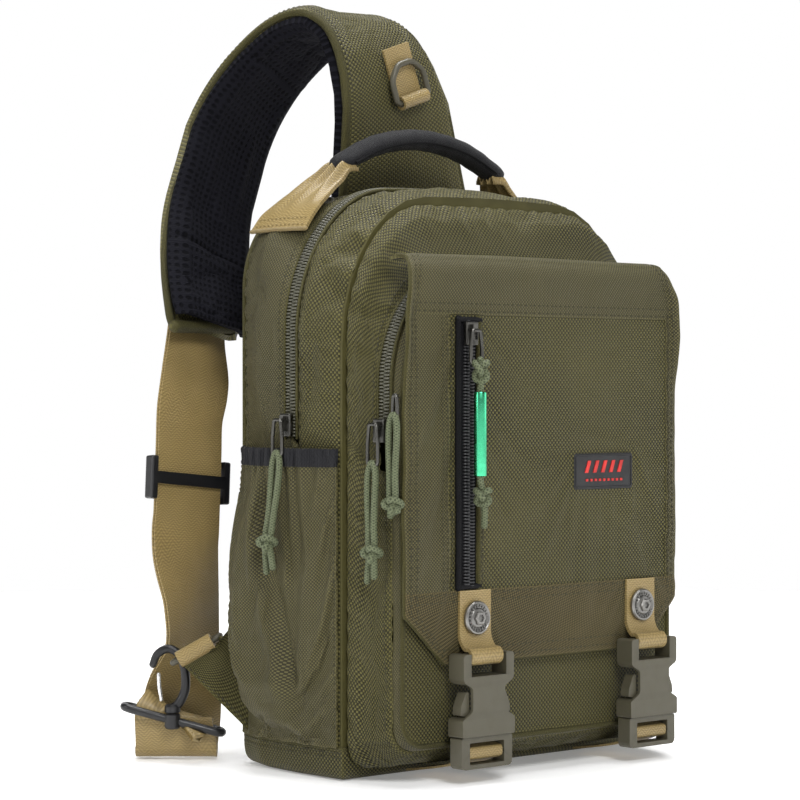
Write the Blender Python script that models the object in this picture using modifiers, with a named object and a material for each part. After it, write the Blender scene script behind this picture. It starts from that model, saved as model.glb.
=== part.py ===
"""Tactical sling bag: a boxy bag with a buckled front flap and one padded cross-body strap.

Units are metres. Z is up, the front of the bag faces -Y, and +X is to the right seen from the front.
The origin is on the floor under the middle of the bag's base.
"""
import math

import bmesh
import bpy
from mathutils import Matrix, Vector

# ---------------------------------------------------------------- driving dimensions
GAP = 0.0003                # clearance between touching pieces
BAG_HALF_WIDTH = 0.1175
BAG_TOP = 0.331             # height of the side of the roof, before its crown
BODY_CROWN = 0.006          # how much the roof rises in the middle
BACK_Y = 0.070
MAIN_ZIP_Y = 0.0133
DIVIDER_Y = -0.030          # seam between the main and the front compartment
FRONT_ZIP_Y = -0.0581
FRONT_Y = -0.0713           # outer face of the front panel
HEM_Z = 0.018               # top of the bottom tray
ZIP_END_Z = 0.190           # both zips end here on each side
FABRIC = 0.0022             # a lined panel's thickness

# y, half width, roof height, corner radius across, corner radius up
BODY_SECTIONS = (
    (BACK_Y, 0.1070, 0.323, 0.034, 0.045),
    (0.0450, 0.1150, 0.329, 0.048, 0.060),
    (MAIN_ZIP_Y, BAG_HALF_WIDTH, BAG_TOP, 0.068, 0.080),
    (DIVIDER_Y, 0.1165, 0.325, 0.062, 0.082),
)
# the same, and the height of the underside
FRONT_SECTIONS = (
    (-0.0322, 0.1148, 0.3235, 0.060, 0.078, 0.0065),
    (-0.0400, 0.1140, 0.3130, 0.057, 0.074, 0.0090),
    (-0.0520, 0.1100, 0.2860, 0.052, 0.064, 0.0125),
    (-0.0642, 0.1090, 0.2810, 0.050, 0.060, 0.0180),
    (FRONT_Y, 0.1075, 0.2750, 0.050, 0.060, 0.0215),
)
FRONT_CROWN = 0.003
FRONT_CORNER = 0.016

FLAP_HALF_WIDTH = 0.110
FLAP_TIP_HALF_WIDTH = 0.080
FLAP_Y = -0.0750            # outer face
FLAP_THICK = 0.0028
FLAP_ROOT = (-0.0530, 0.2935)
FLAP_SHOULDER_Z = 0.255     # the flap narrows above this
FLAP_CHAMFER_Z = 0.095
FLAP_END_Z = 0.067
FLAP_ZIP_X = -0.0640

BUCKLE_X = (("left", -0.0590), ("right", 0.0765))
BUCKLE_Z = 0.0265           # mouth of the female half
BUCKLE_BACK_Y = -0.0765
BUCKLE_THICK = 0.0120

WEBBING = 0.0014            # half thickness of the doubled shoulder webbing
WEBBING_HALF_WIDTH = 0.024

# ---------------------------------------------------------------- scene set-up
for old in list(bpy.data.objects):
    bpy.data.objects.remove(old, do_unlink=True)

BAG = bpy.data.collections.new("tactical_sling_bag")
CUTTERS = bpy.data.collections.new("cutters")
for group in (BAG, CUTTERS):
    bpy.context.scene.collection.children.link(group)


def material(name, colour, roughness, metallic=0.0):
    """A Principled material of one colour."""
    made = bpy.data.materials.new(name)
    made.use_nodes = True
    shader = made.node_tree.nodes["Principled BSDF"]
    shader.inputs["Base Color"].default_value = (*colour, 1.0)
    shader.inputs["Roughness"].default_value = roughness
    shader.inputs["Metallic"].default_value = metallic
    return made


OLIVE = material("olive_nylon", (0.115, 0.112, 0.060), 0.75)
TAN = material("tan_webbing", (0.310, 0.235, 0.105), 0.55)
BLACK_MESH = material("black_mesh", (0.012, 0.012, 0.016), 0.85)
BLACK_PLASTIC = material("black_plastic", (0.015, 0.015, 0.017), 0.40)
GREY_PLASTIC = material("grey_green_plastic", (0.125, 0.120, 0.095), 0.45)
ZIP_COIL = material("zip_coil", (0.110, 0.108, 0.080), 0.50)
BLACK_ZIP = material("black_zip", (0.010, 0.010, 0.012), 0.60)
GUNMETAL = material("gunmetal", (0.180, 0.180, 0.175), 0.30, 0.9)
CORD = material("sage_cord", (0.150, 0.210, 0.120), 0.80)
BEAD = material("green_anodised", (0.020, 0.420, 0.150), 0.25, 0.8)
RUBBER = material("black_rubber", (0.015, 0.015, 0.018), 0.60)


# ---------------------------------------------------------------- modelling helpers
def link(name, data, look, collection=BAG):
    """A new object for a node, with its material."""
    made = bpy.data.objects.new(name, data)
    collection.objects.link(made)
    data.materials.append(look)
    return made


def frame(origin, right, up):
    """The matrix that maps local X to right, local Y to up and local Z to right x up."""
    right = Vector(right).normalized()
    up = Vector(up).normalized()
    matrix = Matrix((right, up, right.cross(up))).transposed().to_4x4()
    matrix.translation = Vector(origin)
    return matrix


def mix(a, b, t):
    return a + (b - a) * t


def section_at(table, y):
    """The table's values at y, mixed between the two rows around it."""
    for near, far in zip(table, table[1:]):
        if near[0] >= y >= far[0]:
            t = (near[0] - y) / (near[0] - far[0])
            return [mix(a, b, t) for a, b in zip(near[1:], far[1:])]
    row = table[0] if y > table[0][0] else table[-1]
    return list(row[1:])


def rounded(corners, steps=4):
    """A closed outline through (x, y, radius) corners, each one an arc."""
    outline = []
    for i, (x, y, radius) in enumerate(corners):
        here = Vector((x, y))
        before = (Vector(corners[i - 1][:2]) - here).normalized()
        after = (Vector(corners[(i + 1) % len(corners)][:2]) - here).normalized()
        if radius <= 0.0:
            outline.append((x, y))
            continue
        half = before.angle(after) / 2.0
        centre = here + (before + after).normalized() * (radius / math.sin(half))
        start = here + before * (radius / math.tan(half)) - centre
        end = here + after * (radius / math.tan(half)) - centre
        first = math.atan2(start.y, start.x)
        turn = (math.atan2(end.y, end.x) - first + math.pi) % (2 * math.pi) - math.pi
        for k in range(steps + 1):
            angle = first + turn * k / steps
            outline.append((centre.x + radius * math.cos(angle), centre.y + radius * math.sin(angle)))
    return outline


def smooth_path(points, steps=4):
    """A Catmull-Rom curve through the points (any number of values each)."""
    rows = [Vector(p) for p in points]
    ends = [rows[0] * 2 - rows[1]] + rows + [rows[-1] * 2 - rows[-2]]
    path = []
    for a, b, c, d in zip(ends, ends[1:], ends[2:], ends[3:]):
        for k in range(steps):
            t = k / steps
            path.append(0.5 * (2 * b + (c - a) * t + (2 * a - 5 * b + 4 * c - d) * t ** 2
                               + (3 * b - a - 3 * c + d) * t ** 3))
    path.append(rows[-1])
    return path


def flat_curve(outlines, thickness):
    """A filled 2D curve of one or more closed outlines, extruded to a thickness."""
    curve = bpy.data.curves.new("outline", "CURVE")
    curve.dimensions = "2D"
    curve.fill_mode = "BOTH"
    curve.extrude = thickness / 2
    for outline in outlines:
        spline = curve.splines.new("POLY")
        spline.points.add(len(outline) - 1)
        for point, (x, y) in zip(spline.points, outline):
            point.co = (x, y, 0.0, 1.0)
        spline.use_cyclic_u = True
    return curve


def plate(name, outlines, thickness, matrix, look):
    """A flat plate, centred on its matrix's XY plane."""
    made = link(name, flat_curve(outlines, thickness), look)
    made.matrix_world = matrix
    return made


def tube(name, points, radius, look, cyclic=False, resolution=2):
    """A round rod or cord along a path."""
    curve = bpy.data.curves.new(name, "CURVE")
    curve.dimensions = "3D"
    curve.bevel_depth = radius
    curve.bevel_resolution = resolution
    curve.use_fill_caps = not cyclic
    spline = curve.splines.new("POLY")
    spline.points.add(len(points) - 1)
    for point, place in zip(spline.points, points):
        point.co = (*place, 1.0)
    spline.use_cyclic_u = cyclic
    return link(name, curve, look)


def as_mesh(made):
    """The same object as a welded mesh, so that Booleans can use it."""
    bpy.context.view_layer.update()
    evaluated = made.evaluated_get(bpy.context.evaluated_depsgraph_get())
    mesh = bpy.data.meshes.new_from_object(evaluated)
    work = bmesh.new()
    work.from_mesh(mesh)
    bmesh.ops.remove_doubles(work, verts=work.verts, dist=0.00001)
    bmesh.ops.recalc_face_normals(work, faces=work.faces)
    work.to_mesh(mesh)
    work.free()
    name, matrix = made.name, made.matrix_world.copy()
    bpy.data.objects.remove(made, do_unlink=True)
    fresh = bpy.data.objects.new(name, mesh)
    fresh.name = name
    BAG.objects.link(fresh)
    fresh.matrix_world = matrix
    return fresh


def box_mesh(low, high, bevel=0.0):
    """A box from its low to its high corner, in local coordinates."""
    work = bmesh.new()
    bmesh.ops.create_cube(work, size=1.0)
    low, high = Vector(low), Vector(high)
    for vertex in work.verts:
        vertex.co = (low + high) / 2 + Vector(a * b for a, b in zip(vertex.co, high - low))
    if bevel > 0.0:
        bmesh.ops.bevel(work, geom=work.edges[:], offset=bevel, segments=2, affect="EDGES", profile=0.5)
    mesh = bpy.data.meshes.new("box")
    work.to_mesh(mesh)
    work.free()
    return mesh


def box(name, low, high, look, matrix=Matrix(), bevel=0.0):
    made = link(name, box_mesh(low, high, bevel), look)
    made.matrix_world = matrix
    return made


def drum_mesh(radius, low, high, segments=20):
    """A cylinder along local Z."""
    work = bmesh.new()
    bmesh.ops.create_cone(work, cap_ends=True, segments=segments, radius1=radius, radius2=radius,
                          depth=high - low)
    bmesh.ops.translate(work, verts=work.verts, vec=(0, 0, (low + high) / 2))
    mesh = bpy.data.meshes.new("drum")
    work.to_mesh(mesh)
    work.free()
    return mesh


def turned(name, profile, matrix, look, steps=24):
    """A profile of (radius, height) points, outer side from top to bottom, turned round local Z."""
    work = bmesh.new()
    points = [work.verts.new((radius, 0.0, height)) for radius, height in profile]
    for a, b in zip(points, points[1:]):
        work.edges.new((a, b))
    mesh = bpy.data.meshes.new(name)
    work.to_mesh(mesh)
    work.free()
    made = link(name, mesh, look)
    made.matrix_world = matrix
    screw = made.modifiers.new("turn", "SCREW")
    screw.steps = screw.render_steps = steps
    screw.use_merge_vertices = True
    screw.merge_threshold = 0.00005
    return made


def combine(target, tool_mesh, operation, matrix=None):
    """Apply one Boolean of a helper mesh to an object."""
    tool = bpy.data.objects.new("tool", tool_mesh)
    CUTTERS.objects.link(tool)
    tool.matrix_world = target.matrix_world if matrix is None else matrix
    change = target.modifiers.new("change", "BOOLEAN")
    change.operation = operation
    change.object = tool
    bpy.context.view_layer.update()
    evaluated = target.evaluated_get(bpy.context.evaluated_depsgraph_get())
    mesh = bpy.data.meshes.new_from_object(evaluated)
    target.modifiers.clear()
    target.data = mesh
    bpy.data.objects.remove(tool, do_unlink=True)
    return target


def loft(name, loops, look, smooth=True):
    """A closed solid through loops of equal length, capped at both ends."""
    work = bmesh.new()
    rings = [[work.verts.new(point) for point in loop] for loop in loops]
    for a, b in zip(rings, rings[1:]):
        for i in range(len(a)):
            j = (i + 1) % len(a)
            work.faces.new((a[i], a[j], b[j], b[i]))
    work.faces.new(rings[0][::-1])
    work.faces.new(rings[-1])
    bmesh.ops.recalc_face_normals(work, faces=work.faces)
    mesh = bpy.data.meshes.new(name)
    work.to_mesh(mesh)
    work.free()
    made = link(name, mesh, look)
    if smooth:
        mesh.shade_smooth()
        mesh.set_sharp_from_angle(angle=math.radians(40))
    return made


def panel(name, rows, thickness, look, inside, wrap=False, floor=False):
    """A sewn panel: an open surface through rows of points, thickened towards the inside point."""
    work = bmesh.new()
    grid = [[work.verts.new(point) for point in row] for row in rows]
    columns = len(rows[0]) if wrap else len(rows[0]) - 1
    for a, b in zip(grid, grid[1:]):
        for i in range(columns):
            j = (i + 1) % len(a)
            work.faces.new((a[i], a[j], b[j], b[i]))
    if floor:
        work.faces.new(grid[-1])
    work.normal_update()
    work.faces.ensure_lookup_table()
    probe = work.faces[0]
    if probe.normal.dot(probe.calc_center_median() - Vector(inside)) < 0:
        bmesh.ops.reverse_faces(work, faces=work.faces)
    if floor:
        bmesh.ops.recalc_face_normals(work, faces=work.faces)
    mesh = bpy.data.meshes.new(name)
    work.to_mesh(mesh)
    work.free()
    made = link(name, mesh, look)
    thicken = made.modifiers.new("thickness", "SOLIDIFY")
    thicken.thickness = thickness
    thicken.offset = -1.0
    thicken.use_even_offset = True
    mesh.shade_smooth()
    return made


def tangents(path):
    """The unit direction of a path at each of its points."""
    last = len(path) - 1
    return [(path[min(i + 1, last)] - path[max(i - 1, 0)]).normalized() for i in range(len(path))]


def strip_loops(path, sides, half_widths, half_thicks, offset=0.0, columns=1):
    """Sections of a flat strip: side is across it, and offset moves it along its outward normal."""
    loops = []
    for here, ahead, side, wide, thick in zip(path, tangents(path), sides, half_widths, half_thicks):
        side = (side - ahead * side.dot(ahead)).normalized()
        normal = side.cross(ahead)
        middle = here + normal * offset
        cut = thick * 0.8
        face = [(wide - cut) * (1 - 2 * k / columns) for k in range(columns + 1)]
        outline = [(wide, thick - cut)] + [(a, thick) for a in face] + [(-wide, thick - cut)]
        outline += [(-a, -b) for a, b in outline]
        loops.append([middle + side * a + normal * b for a, b in outline])
    return loops


def mirror_x(point, side):
    return Vector((point[0] * side, point[1], point[2]))


# ---------------------------------------------------------------- the body's outlines
def half_arch(levels, half_width, roof, across, up, crown, corner_steps=7, roof_steps=3):
    """One side's outline from the lowest level up to the middle of the roof, as (x > 0, z)."""
    spring = roof - up
    points = [(half_width, z) for z in levels]
    for k in range(corner_steps + 1):
        angle = math.pi / 2 * k / corner_steps
        points.append((half_width - across + across * math.cos(angle), spring + up * math.sin(angle)))
    flat = half_width - across
    for k in range(1, roof_steps + 1):
        points.append((flat * (1 - k / roof_steps), roof))
    shaped = []
    for x, z in points:
        lift = crown * (1 - (x / half_width) ** 2) if z > spring else 0.0
        shaped.append((x, z + lift))
    return shaped


BODY_LEVELS = (HEM_Z + GAP, 0.060, 0.105, 0.150, ZIP_END_Z - 0.003, ZIP_END_Z + 0.0015, 0.225)
FRONT_LEVELS = (0.050, 0.100, 0.150, ZIP_END_Z - 0.003, ZIP_END_Z + 0.0015, 0.210)


def body_arch(y, levels=BODY_LEVELS):
    """The main body's outline at y, from the left hem over the roof to the right hem."""
    half = half_arch(levels, *section_at(BODY_SECTIONS, y), BODY_CROWN)
    return [(-x, z) for x, z in half] + [(x, z) for x, z in reversed(half[:-1])]


def front_arch(y, levels=FRONT_LEVELS):
    """The front compartment's outline at y, without its underside."""
    half_width, roof, across, up, _ = section_at(FRONT_SECTIONS, y)
    half = half_arch(levels, half_width, roof, across, up, FRONT_CROWN)
    return [(-x, z) for x, z in half] + [(x, z) for x, z in reversed(half[:-1])]


def front_ring(y):
    """The front compartment's closed outline at y."""
    half_width, _, _, _, under = section_at(FRONT_SECTIONS, y)
    corner = []
    for k in range(5):
        angle = math.pi / 2 * k / 4
        corner.append((half_width - FRONT_CORNER + FRONT_CORNER * math.sin(angle),
                       under + FRONT_CORNER * (1 - math.cos(angle))))
    floor = [(0.0, under), (half_width * 0.5, under)]
    left = [(-x, z) for x, z in floor + corner]
    right = [(x, z) for x, z in reversed(floor[1:] + corner)]
    return left + front_arch(y) + right


def ring_rows(outline_at, back, front_low, front_high, stations):
    """Rows of a gusset whose front edge is at front_low under the zip's end and front_high above it."""
    rows = []
    for k in range(stations + 1):
        row = []
        for i, (_, z) in enumerate(outline_at(back)):
            front = front_low if z < ZIP_END_Z else front_high
            y = mix(back, front, k / stations)
            x, height = outline_at(y)[i]
            row.append((x, y, height))
        rows.append(row)
    return rows


BODY_MIDDLE = (0.0, 0.02, 0.17)


def outline_plate(name, outline, y, thickness, look):
    """A flat wall in the XZ plane, centred at y."""
    return plate(name, [outline], thickness, frame((0, y, 0), (1, 0, 0), (0, 0, 1)), look)


def zip_chain(name, outline, y, half_width, coil, look):
    """A zip's tape and coil, swept along an outline in the XZ plane."""
    path = [Vector((x, y, z)) for x, z in outline]
    tape = 0.0006
    section = ((-half_width, -tape), (-half_width, tape), (-0.0028, tape), (-0.0016, coil), (0.0016, coil),
               (0.0028, tape), (half_width, tape), (half_width, -tape))
    loops = []
    for here, ahead in zip(path, tangents(path)):
        outward = Vector((-ahead.z, 0.0, ahead.x))
        loops.append([here + Vector((0, across, 0)) + outward * (out - 0.0010) for across, out in section])
    return loft(name, loops, look, smooth=False)


def build_body():
    edge = FABRIC / 2 + GAP
    back_wall = BACK_Y - 0.00125
    outline_plate("back_panel", body_arch(back_wall, (HEM_Z + GAP, 0.12, 0.22)), back_wall, 0.0025, OLIVE)
    panel("rear_gusset", ring_rows(body_arch, BACK_Y - 0.0028, MAIN_ZIP_Y - 0.006, MAIN_ZIP_Y + 0.006, 4),
          FABRIC, OLIVE, BODY_MIDDLE)
    panel("front_gusset", ring_rows(body_arch, MAIN_ZIP_Y - 0.0063, -0.0280, -0.0280, 3), FABRIC, OLIVE,
          BODY_MIDDLE)
    zip_levels = (ZIP_END_Z + 0.0025, 0.225)
    zip_chain("main_zip", body_arch(MAIN_ZIP_Y, zip_levels), MAIN_ZIP_Y, 0.0055, 0.0030, ZIP_COIL)
    divider = body_arch(-0.0293, (HEM_Z + GAP, 0.12, 0.225))
    outline_plate("divider_wall", divider, -0.0292, 0.0018, OLIVE)

    stations = (-0.0301, -0.010, MAIN_ZIP_Y, 0.045, BACK_Y - edge + 0.001)
    side = [(section_at(BODY_SECTIONS, y)[0], y) for y in stations]
    rim = [(-x, y) for x, y in side] + [(x, y) for x, y in reversed(side)]
    rows = []
    for z, inset in ((HEM_Z, 0.0), (0.0045, 0.0), (0.0012, 0.0012), (0.0, 0.0045)):
        shrink = 1 - inset / 0.05
        middle = 0.02
        rows.append([(x * (1 - inset / BAG_HALF_WIDTH), middle + (y - middle) * shrink, z) for x, y in rim])
    panel("bottom_tray", rows, 0.0025, OLIVE, BODY_MIDDLE, wrap=True, floor=True)

    pad = rounded(((-0.085, 0.045, 0.02), (0.085, 0.045, 0.02), (0.085, 0.270, 0.03), (-0.085, 0.270, 0.03)))
    outline_plate("back_pad", pad, BACK_Y + GAP + 0.004, 0.008, BLACK_MESH)


def build_front():
    middle = (0.0, -0.05, 0.15)
    rows = ring_rows(front_ring, FRONT_SECTIONS[0][0], FRONT_ZIP_Y - 0.0061, FRONT_ZIP_Y + 0.0061, 3)
    panel("front_compartment_gusset", rows, FABRIC, OLIVE, middle, wrap=True)
    zip_levels = (ZIP_END_Z + 0.0025, 0.210)
    zip_chain("front_zip", front_arch(FRONT_ZIP_Y, zip_levels), FRONT_ZIP_Y, 0.0054, 0.0030, ZIP_COIL)
    rows = ring_rows(front_ring, FRONT_ZIP_Y - 0.0067, FRONT_Y + 0.0023, FRONT_Y + 0.0023, 1)
    panel("flap_pocket_gusset", rows, FABRIC, OLIVE, middle, wrap=True)
    outline_plate("front_panel", front_ring(FRONT_Y), FRONT_Y + 0.0010, 0.0020, OLIVE)


# ---------------------------------------------------------------- side pockets
POCKET_LEVELS = ((HEM_Z + 0.0006, 0.0006), (0.037, 0.0040), (0.060, 0.0090), (0.085, 0.0120),
                 (0.115, 0.0125), (0.145, 0.0100), (0.172, 0.0072), (0.186, 0.0062))
POCKET_BACK_Y, POCKET_FRONT_Y = 0.0645, -0.0275


def build_pocket(name, side):
    """A gathered side pocket: its mouth stands off the gusset and its belly bulges."""
    wall = 0.0016
    rows = []
    for z, bulge in POCKET_LEVELS:
        row = []
        for k in range(11):
            t = k / 10
            y = mix(POCKET_BACK_Y, POCKET_FRONT_Y, t)
            reach = section_at(BODY_SECTIONS, y)[0] + wall + 2 * GAP
            row.append((side * (reach + bulge * math.sin(math.pi * t) ** 0.7), y, z))
        rows.append(row)
    panel(name, rows, wall, OLIVE, (0.0, 0.02, 0.1))


# ---------------------------------------------------------------- flap
def flap_profile():
    """The flap's outer face from its sewn root to its lower edge, as (y, z)."""
    root_y, root_z = FLAP_ROOT
    bend = [(root_y, root_z), (-0.0615, root_z + 0.0010), (-0.0690, root_z - 0.0010),
            (-0.0738, root_z - 0.0065), (FLAP_Y, root_z - 0.0145)]
    return bend + [(FLAP_Y, z) for z in (0.258, 0.200, 0.150, 0.107, FLAP_CHAMFER_Z, 0.080, FLAP_END_Z)]


def flap_half_width(z):
    """Rounded in towards the root, straight, then cut off towards the tip."""
    t = max(0.0, (FLAP_CHAMFER_Z - z) / (FLAP_CHAMFER_Z - FLAP_END_Z))
    rounding = max(0.0, (z - FLAP_SHOULDER_Z) / (FLAP_ROOT[1] - FLAP_SHOULDER_Z))
    return mix(FLAP_HALF_WIDTH, FLAP_TIP_HALF_WIDTH, t) - 0.008 * rounding ** 2


def build_flap():
    rows = []
    for y, z in flap_profile():
        wide = flap_half_width(z)
        rows.append([(wide * (k / 4 - 1), y, z) for k in range(9)])
    panel("flap", rows, FLAP_THICK, OLIVE, (0.0, 0.05, 0.10))
    face = FLAP_Y - GAP
    zip_x = FLAP_ZIP_X
    box("flap_zip", (zip_x - 0.008, face - 0.0020, 0.109), (zip_x + 0.008, face, 0.258), BLACK_ZIP)
    box("patch", (0.0210, face - 0.0020, 0.1610), (0.0700, face, 0.1820), RUBBER, bevel=0.0006)
    for name, x in BUCKLE_X:
        build_tab("tab_" + name, x)
        profile = ((0.0, 0.0046), (0.0042, 0.0046), (0.0046, 0.0030), (0.0062, 0.0022), (0.0086, 0.0026),
                   (0.0095, 0.0016), (0.0095, 0.0), (0.0, 0.0))
        place = frame((x, face - 0.0026 - GAP, 0.0915), (1, 0, 0), (0, 0, 1))
        turned("snap_" + name, profile, place, GUNMETAL)


def build_tab(name, x):
    """Doubled webbing sewn on the flap, whose free loop holds the female half's bar."""
    bar = Vector((0.0, BUCKLE_BACK_Y - 0.0060, BUCKLE_Z + 0.04425))
    reach = 0.0042
    face = FLAP_Y - GAP - 0.0012
    points = [Vector((0, face, 0.107)), Vector((0, face, 0.094)), Vector((0, face, 0.0835)),
              Vector((0, face - 0.0012, 0.0790))]
    for degrees in (110, 70, 30, -10, -50, -90, -130):
        angle = math.radians(degrees)
        points.append(bar + Vector((0, -math.cos(angle) * reach, math.sin(angle) * reach)))
    points = [p + Vector((x, 0, 0)) for p in points]
    thick = [0.0012] * 4 + [0.0009] * 7
    sides = [Vector((1, 0, 0))] * len(points)
    loops = strip_loops(points, sides, [0.0120] * len(points), thick)
    loft(name, loops, TAN)


# ---------------------------------------------------------------- side-release buckles
def build_female(name, x):
    """The upper half: a waisted shell, open at its back and mouth, with a slot for the tab."""
    half = ((0.0200, 0.0, 0.0010), (0.0200, 0.0095, 0.0015), (0.0122, 0.0140, 0.0030),
            (0.0122, 0.0270, 0.0030), (0.0194, 0.0310, 0.0030), (0.0194, 0.0460, 0.0020))
    outline = rounded([*half, *[(-a, b, r) for a, b, r in reversed(half)]], steps=3)
    middle_y = BUCKLE_BACK_Y - BUCKLE_THICK / 2
    place = frame((x, middle_y, BUCKLE_Z), (1, 0, 0), (0, 0, 1))
    shell = as_mesh(plate(name, [outline], BUCKLE_THICK, place, GREY_PLASTIC))
    deep = BUCKLE_THICK / 2
    combine(shell, box_mesh((-0.0173, -0.001, -deep - 0.001), (0.0173, 0.0290, deep - 0.0020)), "DIFFERENCE")
    combine(shell, box_mesh((-0.0134, 0.0335, -deep - 0.001), (0.0134, 0.0425, deep + 0.001)), "DIFFERENCE")
    combine(shell, box_mesh((-0.0134, 0.0415, -deep - 0.001), (0.0134, 0.0470, -0.0016)), "DIFFERENCE")
    combine(shell, box_mesh((-0.0134, 0.0415, 0.0016), (0.0134, 0.0470, deep + 0.001)), "DIFFERENCE")


def build_male(name, x):
    """The lower half: a ladder frame for the bottom strap, a neck and a guide prong."""
    place = frame((x, BUCKLE_BACK_Y - 0.0058, BUCKLE_Z), (1, 0, 0), (0, 0, 1))
    rim = rounded(((-0.0195, -0.0180, 0.003), (0.0195, -0.0180, 0.003), (0.0195, -0.0004, 0.001),
                   (-0.0195, -0.0004, 0.001)), steps=3)
    lower = rounded(((-0.0132, -0.0155, 0.0005), (0.0132, -0.0155, 0.0005), (0.0132, -0.0100, 0.0005),
                     (-0.0132, -0.0100, 0.0005)), steps=1)
    upper = rounded(((-0.0132, -0.0084, 0.0005), (0.0132, -0.0084, 0.0005), (0.0132, -0.0034, 0.0005),
                     (-0.0132, -0.0034, 0.0005)), steps=1)
    body = as_mesh(plate(name, [rim, lower, upper], 0.0092, place, GREY_PLASTIC))
    combine(body, box_mesh((-0.0133, -0.0102, 0.0014), (0.0133, -0.0082, 0.0060)), "DIFFERENCE")
    combine(body, box_mesh((-0.0133, -0.0102, -0.0060), (0.0133, -0.0082, -0.0014)), "DIFFERENCE")
    combine(body, box_mesh((-0.0090, -0.0010, -0.0032), (0.0090, 0.0050, 0.0032)), "UNION")
    combine(body, box_mesh((-0.0030, 0.0040, -0.0024), (0.0030, 0.0240, 0.0024)), "UNION")


def build_arms(name, x):
    """The two spring arms that show in the female half's side windows."""
    for word, side in (("outer", -1), ("inner", 1)):
        half = ((0.0102, 0.0006, 0.0004), (0.0138, 0.0006, 0.0004), (0.0146, 0.0116, 0.0010),
                (0.0192, 0.0122, 0.0010), (0.0186, 0.0170, 0.0030), (0.0150, 0.0250, 0.0012),
                (0.0130, 0.0250, 0.0008), (0.0122, 0.0120, 0.0020))
        outline = rounded([(side * a, b, r) for a, b, r in half], steps=2)
        place = frame((x, BUCKLE_BACK_Y - 0.0058, BUCKLE_Z), (1, 0, 0), (0, 0, 1))
        plate("arm_%s_%s" % (name, word), [outline], 0.0066, place, GREY_PLASTIC)


def build_bottom_strap(name, x):
    """Webbing from the body's bottom seam, under the bag and through the male half's ladder."""
    mid_y = BUCKLE_BACK_Y - 0.0058
    bar = BUCKLE_Z - 0.0092
    points = ((-0.0335, 0.0030), (-0.0480, 0.0052), (-0.0640, 0.0082), (-0.0740, 0.0112), (-0.0785, 0.0128),
              (mid_y, bar - 0.0036), (mid_y - 0.0030, bar - 0.0022), (mid_y - 0.0034, bar),
              (mid_y - 0.0030, bar + 0.0022), (mid_y, bar + 0.0030), (-0.0790, bar + 0.0040),
              (-0.0762, bar + 0.0052), (-0.0755, bar + 0.0072), (-0.0753, bar + 0.0125))
    path = [Vector((x, y, z)) for y, z in points]
    sides = [Vector((1, 0, 0))] * len(path)
    loft(name, strip_loops(path, sides, [0.0125] * len(path), [0.0006] * len(path)), TAN)


# ---------------------------------------------------------------- handle
def roof_height(x, y):
    """The body's roof at x and y."""
    half_width, roof, across, up = section_at(BODY_SECTIONS, y)
    over = max(0.0, (abs(x) - (half_width - across)) / across)
    return roof - up + up * math.sqrt(max(0.0, 1 - over * over)) + BODY_CROWN * (1 - (x / half_width) ** 2)


def build_handle():
    y = 0.034
    path = smooth_path(((-0.061, y, 0.3535), (-0.033, y, 0.3655), (0.0, y, 0.3702), (0.033, y, 0.3655),
                        (0.061, y, 0.3535)), 2)
    sides = [Vector((0, 1, 0))] * len(path)
    loft("handle_grip", strip_loops(path, sides, [0.0090] * len(path), [0.0058] * len(path)), BLACK_MESH)
    for name, side in (("left", -1), ("right", 1)):
        points = [(0.0640, 0.034, 0.3505), (0.0705, 0.036, 0.3435), (0.0780, 0.039, 0.3370)]
        for x in (0.088, 0.096, 0.1035):
            points.append((x, 0.042, roof_height(x, 0.042) + 0.0032))
        path = [mirror_x(p, side) for p in points]
        sides = [Vector((0, 1, 0))] * len(path)
        wide = [0.0095, 0.0110, 0.0150, 0.0180, 0.0200, 0.0205]
        thick = [0.0022, 0.0016, 0.0013, 0.0011, 0.0011, 0.0011]
        loft("anchor_" + name, strip_loops(path, sides, wide, thick), TAN)


# ---------------------------------------------------------------- shoulder strap
# x, y, z of the pad's middle, its half width, and how far its width is turned about Z, in degrees
STRAP_ROUTE = (
    (0.030, 0.0775, 0.288, 0.060, 0), (0.029, 0.0775, 0.318, 0.064, 0), (0.027, 0.0765, 0.342, 0.062, 0),
    (0.020, 0.0710, 0.366, 0.050, 0), (0.008, 0.0670, 0.398, 0.041, 0), (0.001, 0.0710, 0.424, 0.037, 0),
    (-0.003, 0.0830, 0.4415, 0.036, 2), (-0.010, 0.1030, 0.4480, 0.035, 5), (-0.021, 0.1260, 0.438, 0.035, 9),
    (-0.036, 0.1455, 0.413, 0.035, 12), (-0.053, 0.1540, 0.379, 0.035, 13),
    (-0.072, 0.1495, 0.335, 0.034, 13), (-0.086, 0.1370, 0.299, 0.033, 11),
    (-0.095, 0.1225, 0.268, 0.030, 8), (-0.098, 0.1175, 0.257, 0.026, 6),
)
PAD_LAYER = 0.0030          # half thickness of the woven layer and of the mesh layer


def strap_values():
    rows = smooth_path(STRAP_ROUTE, 2)
    path = [Vector(row[:3]) for row in rows]
    sides = [Vector((math.cos(math.radians(row[4])), math.sin(math.radians(row[4])), 0)) for row in rows]
    return path, sides, [row[3] for row in rows]


def build_strap_pad():
    path, sides, wide = strap_values()
    thick = [PAD_LAYER] * len(path)
    apart = PAD_LAYER + 0.0005
    loft("strap_pad", strip_loops(path, sides, wide, thick, apart, 6), OLIVE)
    narrower = [w - 0.0015 for w in wide]
    loft("strap_mesh", strip_loops(path, sides, narrower, thick, -apart, 6), BLACK_MESH)


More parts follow.
